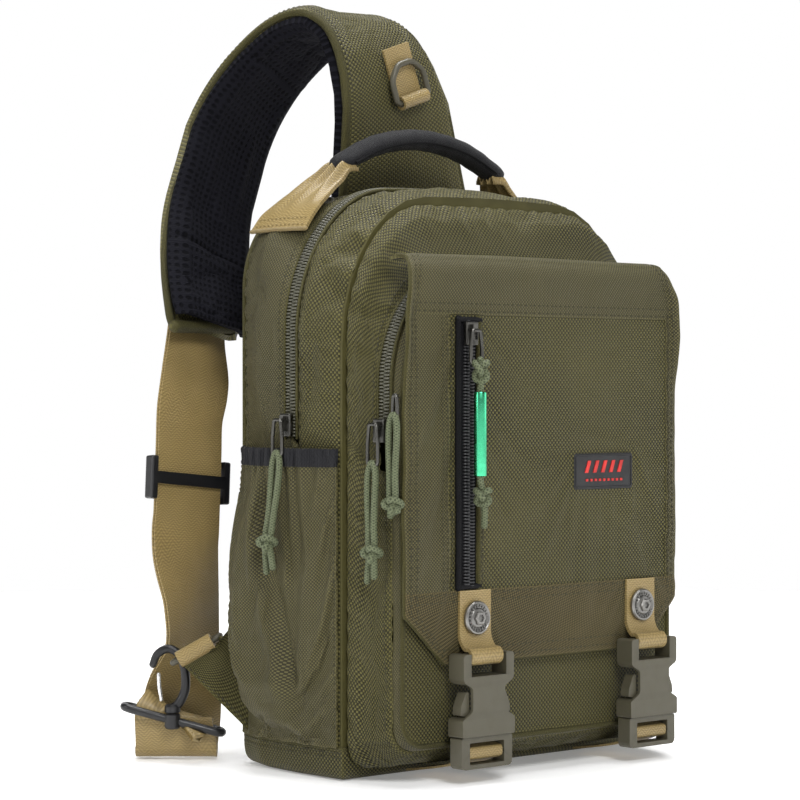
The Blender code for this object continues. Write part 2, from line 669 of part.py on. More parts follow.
def build_strap_ring():
    """A webbing tab on the pad's outer face, and the D-ring in its rolled end."""
    lower = Vector((0.0150, 0.0602, 0.3980))
    along = Vector((-0.012, 0.0, 0.034)).normalized()
    place = frame(lower, along.cross(Vector((0, 1, 0))) * -1, along)
    right, up, out = (Vector(place.col[i][:3]) for i in range(3))
    if out.y > 0:
        right, out = -right, -out
    place = frame(lower, right, up)
    roll = drum_mesh(0.0042, -0.0110, 0.0110, 16)
    bore = drum_mesh(0.0022, -0.0120, 0.0120, 12)
    axis = frame(lower + out * 0.0047, up, out)
    flat = box("strap_tab", (-0.0110, 0.0, 0.0), (0.0110, 0.0340, 0.0016), TAN, place)
    combine(flat, roll, "UNION", axis)
    combine(flat, bore, "DIFFERENCE", axis)
    ring = rounded(((-0.0135, 0.0, 0.0030), (0.0135, 0.0, 0.0030), (0.0135, 0.0150, 0.0090),
                    (0.0060, 0.0230, 0.0080), (-0.0060, 0.0230, 0.0080), (-0.0135, 0.0150, 0.0090)), steps=3)
    centre = lower + out * 0.0047
    tube("strap_dring", [centre + right * a + up * b for a, b in ring], 0.0019, GREY_PLASTIC, cyclic=True)


# the lower strap is laid out from the back left corner: OUT leaves the corner, AWAY goes behind it
CORNER = Vector((-0.113, 0.068, 0.0))
OUT = Vector((-0.743, 0.669, 0.0)).normalized()
AWAY = Vector((0.669, 0.743, 0.0)).normalized()
UP = Vector((0, 0, 1))
HOOK_AWAY = 0.0060
RING_AWAY = -0.0050


def corner_point(out, away, up):
    return CORNER + OUT * out + AWAY * away + UP * up


SLOPE = -OUT * 0.9655 - UP * 0.2604      # along the swivel loop's bars
LOOP_CENTRE = corner_point(0.0389, 0.01125, 0.0243)


def build_webbing():
    """One strip from the pad's end, down through the adjuster, under and round the swivel loop's bar."""
    flat = Vector((1.0, 0.0, 0.0))
    low = -OUT
    turned_in = Vector((0.978, 0.208, 0.0))
    rows = [((-0.0905, 0.1420, 0.284), turned_in, 0.0008), ((-0.0940, 0.1334, 0.267), turned_in, 0.0008),
            ((-0.0975, 0.1271, 0.252), turned_in, 0.0008), ((-0.1055, 0.1180, 0.226), flat, 0.0008),
            ((-0.1130, 0.1135, 0.205), flat, 0.0009), ((-0.1150, 0.1120, 0.185), flat, WEBBING),
            ((-0.1170, 0.1105, 0.165), flat, WEBBING), ((-0.1190, 0.1090, 0.145), flat, WEBBING),
            ((-0.1210, 0.1075, 0.125), flat, WEBBING)]
    for side, out, away, up in ((turned_in, 0.0295, 0.0310, 0.096), (turned_in, 0.0295, 0.0370, 0.066),
                                (flat.lerp(low, 0.45), 0.0345, 0.0350, 0.036)):
        rows.append((corner_point(out, away, up), side, WEBBING))
    turn = 0.0076
    for degrees in (0, 36, 72, 108, 144, 180):
        angle = math.radians(degrees)
        rows.append((corner_point(0.0375, 0.0199 + turn * math.cos(angle), 0.0100 - turn * math.sin(angle)),
                     low, WEBBING))
    bar = LOOP_CENTRE + AWAY * 0.00525
    wrap = 0.0042
    lift = AWAY.cross(SLOPE) * math.copysign(1.0, AWAY.cross(SLOPE).z)
    for degrees in (180, 150, 120, 90, 60, 30, 0, -25):
        angle = math.radians(degrees)
        across = AWAY * wrap * math.cos(angle)
        rows.append((bar + across + lift * wrap * math.sin(angle), SLOPE, WEBBING))
    path = [Vector(row[0]) for row in rows]
    sides = [row[1] for row in rows]
    thick = [row[2] for row in rows]
    wide = [WEBBING_HALF_WIDTH] * (len(path) - 8) + [WEBBING_HALF_WIDTH - 0.0012] * 8
    loft("shoulder_webbing", strip_loops(path, sides, wide, thick), TAN)


def build_adjuster():
    """The tri-glide: its two outer bars lie behind the webbing and its middle bar in front."""
    along = (Vector((-0.1130, 0.1135, 0.205)) - Vector((-0.1210, 0.1075, 0.125))).normalized()
    right = Vector((1.0, 0.0, 0.0))
    right = (right - along * right.dot(along)).normalized()
    place = frame(Vector((-0.1170, 0.1105, 0.165)), right, along)
    inner, outer, deep = 0.0250, 0.0295, 0.0036
    slot = WEBBING + 0.0005
    glide = box("tri_glide", (-outer, -0.0128, -deep), (outer, 0.0128, deep), BLACK_PLASTIC, place, 0.0012)
    combine(glide, box_mesh((-inner, -0.02, -slot), (inner, 0.02, slot)), "DIFFERENCE")
    for low, high in (((-inner, 0.0036, 0.0), (inner, 0.02, 0.01)),
                      ((-inner, -0.02, 0.0), (inner, -0.0036, 0.01)),
                      ((-inner, -0.0086, -0.01), (inner, 0.0086, 0.0))):
        combine(glide, box_mesh(low, high), "DIFFERENCE")


def build_hook():
    """The swivel loop, the snap hook with its collar, and the sprung wire gate."""
    half_long, half_deep = 0.0298, 0.00525
    bars = rounded(((-half_long, -half_deep, 0.0028), (half_long, -half_deep, 0.0028),
                    (half_long, half_deep, 0.0028), (-half_long, half_deep, 0.0028)), steps=3)
    loop = tube("swivel_loop", [LOOP_CENTRE + SLOPE * a + AWAY * b for a, b in bars], 0.0024, BLACK_PLASTIC,
                cyclic=True)
    boss = Matrix.Translation(corner_point(0.0389, HOOK_AWAY, 0.0))
    combine(as_mesh(loop), drum_mesh(0.0045, 0.0193, 0.0283, 16), "UNION", boss)

    route = ((0.0389, 0.0312), (0.0350, 0.0345), (0.0315, 0.0420), (0.0312, 0.0500), (0.0322, 0.0570),
             (0.0345, 0.0628), (0.0410, 0.0665), (0.0475, 0.0635), (0.0505, 0.0570))
    path = smooth_path([(*corner_point(out, HOOK_AWAY, up),) for out, up in route], 2)
    hook = as_mesh(tube("snap_hook", path, 0.0028, BLACK_PLASTIC))
    combine(hook, drum_mesh(0.0046, 0.0287, 0.0338, 16), "UNION", boss)

    gate = ((0.0455, 0.0362), (0.0466, 0.0440), (0.0470, 0.0515))
    tube("wire_gate", [corner_point(out, HOOK_AWAY, up) for out, up in gate], 0.0011, GUNMETAL)


def build_wing(name, side):
    """A sewn corner tab whose rolled end carries a D-ring."""
    def place(out, away, up):
        return mirror_x(corner_point(out, away, up), side)

    start, end = (0.0145, 0.0722), (0.0342, 0.0610)
    axis = (place(end[0], RING_AWAY, end[1]) - place(start[0], RING_AWAY, start[1])).normalized()
    normal = mirror_x(AWAY, side)
    sheet = [(0.002, 0.088), (0.0105, 0.0715), (0.0125, 0.0690), (0.0318, 0.0580), (0.002, 0.021)]
    front = [place(out, RING_AWAY - 0.0012, up) for out, up in sheet]
    back = [place(out, RING_AWAY + 0.0012, up) for out, up in sheet]
    wing = loft("wing_" + name, [front, back], OLIVE, smooth=False)
    middle = (place(*_spread(start)) + place(*_spread(end))) / 2
    rolled = frame(middle, normal, axis.cross(normal))
    half = (place(*_spread(end)) - place(*_spread(start))).length / 2
    combine(wing, drum_mesh(0.0050, -half, half, 16), "UNION", rolled)
    combine(wing, drum_mesh(0.0023, -half - 0.01, half + 0.01, 12), "DIFFERENCE", rolled)

    left_end = place(0.0378, RING_AWAY, 0.05895)
    right_end = place(0.0109, RING_AWAY, 0.0743)
    span = (left_end - right_end).length / 2
    centre = (left_end + right_end) / 2
    ring = rounded(((-span, 0.0, 0.0030), (span, 0.0, 0.0030),
                    (span, 0.0130, 0.0060), (span * 0.5, 0.0205, 0.0080),
                    (-span * 0.5, 0.0205, 0.0080), (-span, 0.0130, 0.0060)), steps=3)
    path = [centre + axis * a + normal * b for a, b in ring]
    tube("dring_" + name, path, 0.0019, GREY_PLASTIC, cyclic=True)


def _spread(pair):
    return pair[0], RING_AWAY, pair[1]


# ---------------------------------------------------------------- zip sliders, pulls and cords
CORD_RADIUS = 0.0020


def build_slider(name, centre, outward, along):
    """A slider body: a rounded block with its pull's bridge, standing on the coil."""
    across = Vector(along).cross(Vector(outward))
    place = frame(centre, across, along)
    block = box(name, (-0.0046, -0.0065, 0.0), (0.0046, 0.0065, 0.0030), GUNMETAL, place, 0.0007)
    combine(block, box_mesh((-0.0016, -0.0035, 0.0020), (0.0016, 0.0050, 0.0052)), "UNION")


def build_pull(name, top, across, length, half_width=0.0042):
    """A pull ring of bent rod that hangs from its top bar."""
    ring = rounded(((-half_width * 0.7, 0.0, 0.0015), (half_width * 0.7, 0.0, 0.0015),
                    (half_width, -length * 0.45, 0.004), (half_width, -length, 0.0030),
                    (-half_width, -length, 0.0030), (-half_width, -length * 0.45, 0.004)), steps=2)
    top, across = Vector(top), Vector(across)
    tube(name, [top + across * a + UP * b for a, b in ring], 0.0011, GUNMETAL, cyclic=True)


def build_cord(name, top, across, outward, lean, knot_drop, tail_drop, spacing=0.0023):
    """A cord folded in half: up one strand, over the fold, down the other, to two tails."""
    top, across, outward = Vector(top), Vector(across), Vector(outward)

    def at(side, drop, out=0.0):
        return top + across * side - UP * drop + outward * (lean * drop + out)

    half = [(spacing * 1.5, tail_drop), (spacing * 1.05, mix(knot_drop, tail_drop, 0.5)),
            (spacing, knot_drop),
            (spacing * 1.1, mix(0.006, knot_drop, 0.65)), (spacing * 1.1, mix(0.006, knot_drop, 0.30)),
            (spacing, 0.006), (spacing * 0.75, 0.0015)]
    route = [at(side, drop) for side, drop in half] + [at(0.0, 0.0)]
    route += [at(-side, drop) for side, drop in reversed(half)]
    tube(name, smooth_path(route, 1), CORD_RADIUS, CORD)


def build_zip_hardware():
    left, forward = Vector((-1, 0, 0)), Vector((0, -1, 0))
    main_x = -BAG_HALF_WIDTH - 0.0020 - GAP
    build_slider("main_slider", (main_x, MAIN_ZIP_Y, 0.1990), left, UP)
    build_pull("main_pull", (main_x - 0.0080, MAIN_ZIP_Y, 0.2020), (0, 1, 0), 0.0205)
    build_cord("main_cord", (main_x - 0.0120, MAIN_ZIP_Y, 0.1830), (0, 1, 0), left, 0.050, 0.0500, 0.0680)

    front_x = -section_at(FRONT_SECTIONS, FRONT_ZIP_Y)[0] - 0.0020 - GAP
    build_slider("front_slider", (front_x, FRONT_ZIP_Y, 0.1965), left, UP)
    build_pull("front_pull", (front_x - 0.0068, FRONT_ZIP_Y, 0.2000), (0, 1, 0), 0.0230)
    build_cord("front_cord", (front_x - 0.0102, FRONT_ZIP_Y, 0.1775), (0, 1, 0), left, 0.0, 0.0450, 0.0650)

    build_pull("pocket_pull", (-0.1128, -0.0700, 0.2160), (0, 0.6, 0), 0.0120, 0.0030)
    build_cord("pocket_cord", (-0.1160, -0.0700, 0.2060), (0.0, 1.0, 0), left, 0.0, 0.0430, 0.0570, 0.0022)

    zip_face = FLAP_Y - GAP - 0.0020 - GAP
    build_slider("flap_slider", (FLAP_ZIP_X, zip_face, 0.2505), forward, UP)
    build_pull("flap_pull", (FLAP_ZIP_X - 0.0010, zip_face - 0.0068, 0.2520), (1, 0, 0), 0.0190)
    cord_y = zip_face - 0.0100
    build_cord("flap_cord_upper", (FLAP_ZIP_X - 0.0010, cord_y, 0.2355), (1, 0, 0), forward,
               0.0, 0.0090, 0.0165)
    bead_top, bead_low = 0.2180, 0.1710
    turned("bead", ((0.0036, bead_top - bead_low), (0.0036, 0.0), (0.0024, 0.0),
                           (0.0024, bead_top - bead_low), (0.0036, bead_top - bead_low)),
                  Matrix.Translation((FLAP_ZIP_X - 0.0010, cord_y, bead_low)), BEAD, steps=16)
    low = [(-0.0615, cord_y, 0.1425), (-0.0610, cord_y, 0.1500), (-0.0625, cord_y, 0.1600),
           (-0.0640, cord_y, 0.1696)]
    tube("flap_cord_lower", smooth_path(low, 3), CORD_RADIUS * 1.4, CORD)


def main():
    build_body()
    build_front()
    for name, side in (("left", -1), ("right", 1)):
        build_pocket("pocket_" + name, side)
    build_flap()
    for name, x in BUCKLE_X:
        build_female("female_" + name, x)
        build_male("male_" + name, x)
        build_arms(name, x)
        build_bottom_strap("strap_" + name, x)
    build_handle()
    build_strap_pad()
    build_strap_ring()
    build_webbing()
    build_adjuster()
    build_hook()
    for name, side in (("left", 1), ("right", -1)):
        build_wing(name, side)
    build_zip_hardware()


main()
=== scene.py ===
"""Looks of the tactical sling bag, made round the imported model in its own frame.

Units are metres. Z is up, the flap faces -Y, and +X is to the right seen from the flap's side.
"""
import math

import bmesh
import bpy
import numpy as np
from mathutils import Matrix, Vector, noise


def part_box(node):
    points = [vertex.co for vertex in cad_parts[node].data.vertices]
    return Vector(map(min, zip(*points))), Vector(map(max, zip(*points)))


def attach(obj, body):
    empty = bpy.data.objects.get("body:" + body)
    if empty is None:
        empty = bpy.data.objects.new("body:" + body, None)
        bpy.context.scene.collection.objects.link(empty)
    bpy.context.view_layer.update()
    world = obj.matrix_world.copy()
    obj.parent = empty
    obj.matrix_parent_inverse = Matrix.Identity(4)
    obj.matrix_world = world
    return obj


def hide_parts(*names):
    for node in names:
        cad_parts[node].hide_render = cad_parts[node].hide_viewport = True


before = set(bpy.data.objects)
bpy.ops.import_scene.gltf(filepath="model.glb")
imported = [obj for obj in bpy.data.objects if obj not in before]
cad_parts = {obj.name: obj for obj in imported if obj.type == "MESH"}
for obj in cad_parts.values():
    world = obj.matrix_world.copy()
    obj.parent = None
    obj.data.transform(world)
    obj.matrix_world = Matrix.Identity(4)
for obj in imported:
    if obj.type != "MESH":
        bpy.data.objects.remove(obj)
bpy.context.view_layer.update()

ALONG_Y, UP = np.array((0.0, 1.0, 0.0)), np.array((0.0, 0.0, 1.0))


# ---------------------------------------------------------------- camera, light and floor
CAMERA_PLACE = (-1.0749, -1.1426, 0.2190)
CAMERA_AZIMUTH, CAMERA_PITCH, LENS_MM, SENSOR_MM = -42.0, -0.22, 118.35, 36.0
LIGHTS = (          # name, place, size, watts
    ("key", (-0.75, -1.45, 1.45), 0.8, 26.0),
    ("side", (-1.70, 0.50, 0.85), 0.8, 10.0),
    ("top", (0.10, 0.15, 1.70), 1.0, 33.0),
    ("right", (1.40, -0.90, 0.80), 1.2, 4.0),
    ("behind", (0.60, 1.60, 1.00), 1.3, 8.0),
)
WALL_TOP, CEILING_START, CEILING = 0.155, 0.27, 0.06     # where the white wall ends and the ceiling starts
FLOOR_RADIUS, FLOOR_WHITE, FLOOR_GLOW = 1.35, 0.95, 0.20
LIT_POINT = (0.0, 0.0, 0.17)


def build_stage():
    lens = bpy.data.cameras.new("camera")
    lens.lens, lens.sensor_width = LENS_MM, SENSOR_MM
    camera = bpy.data.objects.new("camera", lens)
    camera.location = CAMERA_PLACE
    camera.rotation_euler = (math.radians(90 + CAMERA_PITCH), 0.0, math.radians(CAMERA_AZIMUTH))
    bpy.context.collection.objects.link(camera)
    bpy.context.scene.camera = camera

    target = Vector(LIT_POINT)
    for name, place, size, watts in LIGHTS:
        data = bpy.data.lights.new(name, "AREA")
        data.shape, data.size, data.energy = "DISK", size, watts
        lamp = bpy.data.objects.new(name, data)
        lamp.location = place
        lamp.rotation_euler = (target - Vector(place)).to_track_quat("-Z", "Y").to_euler()
        bpy.context.collection.objects.link(lamp)

    world = bpy.data.worlds.new("studio")
    world.use_nodes = True
    tree = world.node_tree
    background = tree.nodes["Background"]
    direction = tree.nodes.new("ShaderNodeSeparateXYZ")
    tree.links.new(tree.nodes.new("ShaderNodeTexCoord").outputs["Generated"], direction.inputs[0])
    fade = tree.nodes.new("ShaderNodeMapRange")      # a white wall all round under a grey ceiling
    for socket, value in zip(fade.inputs[1:5], (WALL_TOP, CEILING_START, 1.0, CEILING)):
        socket.default_value = value
    tree.links.new(direction.outputs[2], fade.inputs[0])
    tree.links.new(fade.outputs[0], background.inputs["Strength"])
    background.inputs["Color"].default_value = (1.0, 1.0, 1.0, 1.0)
    bpy.context.scene.world = world
    bpy.context.scene.view_settings.view_transform = "Standard"

    work = bmesh.new()
    bmesh.ops.create_circle(work, cap_ends=True, segments=96, radius=FLOOR_RADIUS)
    data = bpy.data.meshes.new("floor")
    work.to_mesh(data)
    work.free()
    floor = bpy.data.objects.new("floor", data)
    floor.location.z = -0.0003
    bpy.context.collection.objects.link(floor)
    look = bpy.data.materials.new("floor")
    look.use_nodes = True
    shader = look.node_tree.nodes["Principled BSDF"]
    shader.inputs["Base Color"].default_value = (FLOOR_WHITE, FLOOR_WHITE, FLOOR_WHITE, 1.0)
    shader.inputs["Emission Color"].default_value = (1.0, 1.0, 1.0, 1.0)
    shader.inputs["Emission Strength"].default_value = FLOOR_GLOW
    shader.inputs["Roughness"].default_value = 0.7
    shader.inputs["Specular IOR Level"].default_value = 0.2
    data.materials.append(look)


build_stage()


# ---------------------------------------------------------------- materials
class Net:
    """A material's nodes, with short names for what every material here needs."""

    def __init__(self, name, roughness, metallic=0.0, **sockets):
        self.material = bpy.data.materials.new(name)
        self.material.use_nodes = True
        self.tree = self.material.node_tree
        self.shader = self.tree.nodes["Principled BSDF"]
        self.shader.inputs["Roughness"].default_value = roughness
        self.shader.inputs["Metallic"].default_value = metallic
        for socket, value in sockets.items():
            self.shader.inputs[socket.replace("_", " ")].default_value = value

    def node(self, kind, inputs=(), **settings):
        made = self.tree.nodes.new(kind)
        for key, value in settings.items():
            setattr(made, key, value)
        for key, value in dict(inputs).items():
            self.feed(made.inputs[key], value)
        return made

    def feed(self, socket, value):
        if isinstance(value, bpy.types.NodeSocket):
            self.tree.links.new(value, socket)
        else:
            socket.default_value = value

    def math(self, operation, a, b=0.0):
        return self.node("ShaderNodeMath", {0: a, 1: b}, operation=operation).outputs[0]

    def times(self, a, b):
        return self.math("MULTIPLY", a, b)

    def plus(self, a, b):
        return self.math("ADD", a, b)

    def wave(self, value):
        return self.math("SINE", value)

    def mix(self, factor, a, b):
        made = self.node("ShaderNodeMix", {0: factor}, data_type="RGBA")
        for socket, value in ((made.inputs[6], a), (made.inputs[7], b)):
            self.feed(socket, value if isinstance(value, bpy.types.NodeSocket) else (*value, 1.0))
        return made.outputs[2]

    def coords(self, which):
        return self.node("ShaderNodeTexCoord").outputs[which]

    def axes(self, vector):
        return self.node("ShaderNodeSeparateXYZ", {0: vector}).outputs

    def noise(self, scale, detail=2.0, vector=None, roughness=0.5):
        vector = vector or self.coords("Object")
        made = self.node("ShaderNodeTexNoise", {"Vector": vector, "Scale": scale, "Detail": detail,
                                                "Roughness": roughness})
        return made.outputs["Fac"]

    def spread(self, value, low, high, to_low=0.0, to_high=1.0):
        return self.node("ShaderNodeMapRange", {0: value, 1: low, 2: high, 3: to_low, 4: to_high}).outputs[0]

    def patches(self, scale, detail, low, high, to_low=0.0, to_high=1.0):
        """Soft patches: noise of a scale, spread from to_low to to_high."""
        return self.spread(self.noise(scale, detail), low, high, to_low, to_high)

    def worn_edge(self, low, high):
        """1 along the outer edges, where cloth, plastic and metal rub."""
        return self.spread(self.node("ShaderNodeNewGeometry").outputs["Pointiness"], low, high)

    def finish(self, colour=None, height=None, distance=0.0003, roughness=None, strength=1.0):
        if colour is not None:
            self.feed(self.shader.inputs["Base Color"], colour)
        if roughness is not None:
            self.feed(self.shader.inputs["Roughness"], roughness)
        if height is not None:
            bump = self.node("ShaderNodeBump",
                             {"Height": height, "Distance": distance, "Strength": strength})
            self.feed(self.shader.inputs["Normal"], bump.outputs[0])
        return self.material


def scaled(colour, factor):
    return tuple(c * factor for c in colour)


def weave(name, light, dark, pitch, depth, roughness=0.62, sheen=0.03, diagonal=0.0, specular=0.18):
    """Two-tone basket weave: where warp and weft cross, one lies over the other, and the hollows between the
    crossings get painted shade. UVs are in metres.
    """
    net = Net(name, roughness, Sheen_Weight=sheen, Sheen_Roughness=0.45, Specular_IOR_Level=specular)
    u, v, _ = net.axes(net.coords("UV"))
    if diagonal:
        u, v = net.plus(u, net.times(v, diagonal)), net.math("SUBTRACT", v, net.times(u, diagonal))
    wander = net.patches(60.0, 1.0, 0.3, 0.7, -0.12 * pitch, 0.12 * pitch)
    across = net.wave(net.times(net.plus(u, wander), math.pi / pitch))
    along = net.wave(net.times(net.plus(v, wander), math.pi / pitch))
    over = net.math("GREATER_THAN", net.times(across, along), 0.0)
    wide, long = net.math("ABSOLUTE", across), net.math("ABSOLUTE", along)
    height = net.math("POWER", net.times(wide, long), 0.45)
    height = net.plus(height, net.times(over, 0.25))
    fibre = net.noise(2600.0, 1.0)
    height = net.plus(height, net.times(fibre, 0.25))
    tone = net.mix(over, dark, light)
    # painted shade: the hollows between the yarn crossings, where the weave's relief sinks, are darkened
    # towards a deeper dark
    tone = net.mix(net.spread(net.times(wide, long), 0.0, 0.5, 0.55, 0.0), tone, scaled(dark, 0.35))
    worn = net.patches(14.0, 3.0, 0.35, 0.75)
    tone = net.mix(net.times(worn, 0.16), tone, scaled(light, 1.25))
    edge = net.worn_edge(0.52, 0.60)
    tone = net.mix(net.times(edge, 0.30), tone, scaled(light, 1.35))
    gloss = net.patches(40.0, 2.0, 0.3, 0.7, roughness - 0.06, roughness + 0.08)
    return net.finish(tone, height, depth, gloss)


def webbing_look(name, light, dark, rib=0.00125, roughness=0.42, sheen=0.06, specular=0.45):
    """Nylon webbing: fine ribs along it, crossed by a herringbone, with a soft shine and painted shade in
    the relief of its weave. UVs are in metres.
    """
    net = Net(name, roughness, Sheen_Weight=sheen, Sheen_Roughness=0.35, Specular_IOR_Level=specular)
    u, v, _ = net.axes(net.coords("UV"))
    ribs = net.wave(net.times(v, 2 * math.pi / rib))
    folded = net.math("ABSOLUTE", net.math("SUBTRACT", net.math("FRACT", net.times(u, 1 / 0.0085)), 0.5))
    slant = net.wave(net.plus(net.times(v, 2 * math.pi / 0.0021),
                                      net.times(folded, 22.0)))
    height = net.plus(net.times(ribs, 0.6), net.times(slant, 0.5))
    height = net.plus(height, net.times(net.noise(900.0, 1.0), 0.15))
    # painted shade: the herringbone's sunken slants are darker than its raised ones, and the troughs between
    # the ribs are darker still
    tone = net.mix(net.spread(slant, -1.0, 1.0, 0.25, 0.85), dark, light)
    tone = net.mix(net.spread(ribs, -1.0, -0.2, 0.45, 0.0), tone, scaled(dark, 0.5))
    cloudy = net.patches(22.0, 3.0, 0.35, 0.7)
    tone = net.mix(net.times(cloudy, 0.25), tone, scaled(light, 1.2))
    gloss = net.patches(60.0, 2.0, 0.3, 0.7, roughness - 0.08, roughness + 0.10)
    return net.finish(tone, height, 0.00009, gloss)


def mesh_look(name, thread, hole, cell=0.0042):
    """Padded spacer mesh: rows of round cells in a knitted face, the open cells painted dark as the shade in
    their depth. UVs are in metres.
    """
    net = Net(name, 0.85, Specular_IOR_Level=0.06)
    cells = net.node("ShaderNodeTexVoronoi",
                     {"Vector": net.coords("UV"), "Scale": 1 / cell, "Randomness": 0.12})
    distance = cells.outputs["Distance"]
    open_cell = net.spread(distance, 0.20, 0.36, 1.0, 0.0)
    knit = net.wave(net.times(net.axes(net.coords("UV"))[1], 2 * math.pi / 0.0011))
    height = net.math("SUBTRACT", net.times(knit, 0.10), open_cell)
    # painted shade: the open cells are coloured near black as the shade inside them
    tone = net.mix(open_cell, thread, hole)
    tone = net.mix(net.times(net.patches(25.0, 2.0, 0.3, 0.7), 0.4), tone, scaled(thread, 1.5))
    return net.finish(tone, height, 0.0006)


def plastic_look(name, colour, roughness, grain=0.00003, scale=1900.0):
    """Moulded plastic: a fine spark-eroded grain, with edges rubbed a little paler and shinier."""
    net = Net(name, roughness, Specular_IOR_Level=0.5)
    edge = net.worn_edge(0.51, 0.62)
    cloudy = net.patches(70.0, 3.0, 0.35, 0.7)
    tone = net.mix(net.times(cloudy, 0.35), colour, scaled(colour, 0.8))
    tone = net.mix(net.times(edge, 0.5), tone, tuple(min(1.0, c * 1.5 + 0.01) for c in colour))
    gloss = net.patches(160.0, 3.0, 0.3, 0.7, roughness - 0.07, roughness + 0.10)
    height = net.plus(net.noise(scale, 2.0), net.times(net.noise(220.0, 2.0), 1.2))
    return net.finish(tone, height, grain, gloss)


def metal_look(name, colour, roughness, fine=700.0):
    """Plated metal: faint polishing marks, tarnish in patches, brighter rubbed edges."""
    net = Net(name, roughness, 1.0)
    edge = net.worn_edge(0.50, 0.60)
    patch = net.patches(120.0, 4.0, 0.40, 0.65)
    tone = net.mix(net.times(patch, 0.5), colour, scaled(colour, 0.55))
    tone = net.mix(net.times(edge, 0.6), tone, tuple(min(1.0, c * 1.9) for c in colour))
    gloss = net.patches(240.0, 3.0, 0.3, 0.7, roughness - 0.08, roughness + 0.14)
    return net.finish(tone, net.noise(fine, 3.0), 0.00003, gloss)


def cord_look(name, light, dark, pitch=0.0016):
    """Braided cord: strands crossing on two slants, lighter on their crests with painted shade in the
    grooves between them. UVs are turns and metres along it.
    """
    net = Net(name, 0.6, Sheen_Weight=0.03, Specular_IOR_Level=0.3)
    u, v, _ = net.axes(net.coords("UV"))
    along = net.times(v, 2 * math.pi / pitch)
    around = net.times(u, 2 * math.pi * 4)
    one = net.wave(net.plus(along, around))
    two = net.wave(net.math("SUBTRACT", along, around))
    over = net.math("MAXIMUM", one, two)
    # painted shade: the strands are lighter on their crests and darker in the grooves between them
    tone = net.mix(net.spread(over, -0.3, 0.9), dark, light)
    tone = net.mix(net.times(net.patches(900.0, 1.0, 0.4, 0.7), 0.3), tone, scaled(light, 1.3))
    return net.finish(tone, over, 0.00014)


def plain_thread(name, colour):
    net = Net(name, 0.5, Specular_IOR_Level=0.3)
    twist = net.noise(2600.0, 1.0)
    return net.finish(net.mix(twist, scaled(colour, 0.7), scaled(colour, 1.2)), twist, 0.0001)


def rubber_look(name, colour, roughness=0.55):
    net = Net(name, roughness)
    tone = net.mix(net.patches(90.0, 3.0, 0.35, 0.7), colour, scaled(colour, 1.7))
    return net.finish(tone, net.noise(1500.0, 2.0), 0.00004,
                      net.patches(120.0, 2.0, 0.3, 0.7, roughness - 0.05, roughness + 0.1))


OLIVE_LIGHT, OLIVE_DARK = (0.126, 0.113, 0.036), (0.013, 0.0115, 0.0030)
OLIVE = weave("olive_ballistic", OLIVE_LIGHT, OLIVE_DARK, 0.00135, 0.00042, 0.48, specular=0.24)
OLIVE_FINE = weave("olive_fine", scaled(OLIVE_LIGHT, 0.92), scaled(OLIVE_DARK, 1.05), 0.00095, 0.00020)
OLIVE_TWILL = weave("olive_twill", (0.128, 0.104, 0.045), (0.028, 0.023, 0.009), 0.00115, 0.00022,
                    diagonal=0.55)
OLIVE_SIDE = weave("olive_side", (0.122, 0.108, 0.042), (0.022, 0.0195, 0.007), 0.00105, 0.00030, 0.46, 0.03,
                   specular=0.26)
OLIVE_TAPE = weave("olive_tape", scaled(OLIVE_LIGHT, 0.62), scaled(OLIVE_DARK, 0.7), 0.0008, 0.00012)
THREAD = plain_thread("olive_thread", (0.045, 0.041, 0.018))
TAN_THREAD = plain_thread("tan_thread", (0.200, 0.145, 0.055))
TAN = webbing_look("tan_webbing", (0.335, 0.245, 0.098), (0.160, 0.112, 0.038))
BLACK_MESH = mesh_look("black_mesh", (0.008, 0.008, 0.011), (0.0015, 0.0015, 0.002))
BLACK_SLEEVE = weave("black_sleeve", (0.016, 0.016, 0.019), (0.006, 0.006, 0.007), 0.00075, 0.00012, 0.6,
                     0.04, specular=0.2)
BLACK_ELASTIC = webbing_look("black_elastic", (0.018, 0.018, 0.021), (0.006, 0.006, 0.007), 0.0016, 0.65,
                             0.02, 0.2)
BLACK_LINING = weave("black_lining", (0.020, 0.020, 0.022), (0.009, 0.009, 0.010), 0.0008, 0.0001, 0.7, 0.0,
                     specular=0.15)
BLACK_TAPE = weave("black_tape", (0.010, 0.010, 0.011), (0.004, 0.004, 0.005), 0.0009, 0.00012, 0.65, 0.0,
                   specular=0.15)
COIL = plastic_look("olive_coil", (0.062, 0.060, 0.040), 0.34, 0.00002)
BLACK_COIL = plastic_look("black_coil", (0.012, 0.012, 0.013), 0.35, 0.00002)
GREY_PLASTIC = plastic_look("grey_plastic", (0.058, 0.052, 0.032), 0.46)
BLACK_PLASTIC = plastic_look("black_plastic", (0.006, 0.006, 0.007), 0.38)
GUNMETAL = metal_look("gunmetal", (0.085, 0.083, 0.076), 0.30)
STEEL = metal_look("bright_steel", (0.62, 0.62, 0.62), 0.25)
PEWTER = metal_look("dark_pewter", (0.20, 0.195, 0.185), 0.36)
GREEN_METAL = metal_look("green_anodised", (0.070, 0.500, 0.260), 0.22, 90.0)
CORD_LOOK = cord_look("sage_cord", (0.130, 0.150, 0.082), (0.038, 0.046, 0.022))
RUBBER = rubber_look("black_rubber", (0.010, 0.010, 0.011))
RED = rubber_look("red_rubber", (0.42, 0.018, 0.014))


# ---------------------------------------------------------------- paths, grids and small helpers
def low(node, axis):
    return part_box(node)[0][axis]


def high(node, axis):
    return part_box(node)[1][axis]


def unit(vectors):
    return vectors / np.maximum(np.linalg.norm(vectors, axis=-1, keepdims=True), 1e-12)


def smooth(start, end, value):
    """0 before start, 1 after end, with soft shoulders."""
    t = np.clip((np.asarray(value, float) - start) / (end - start), 0.0, 1.0)
    return t * t * (3 - 2 * t)


def mix(a, b, t):
    return a + (b - a) * t


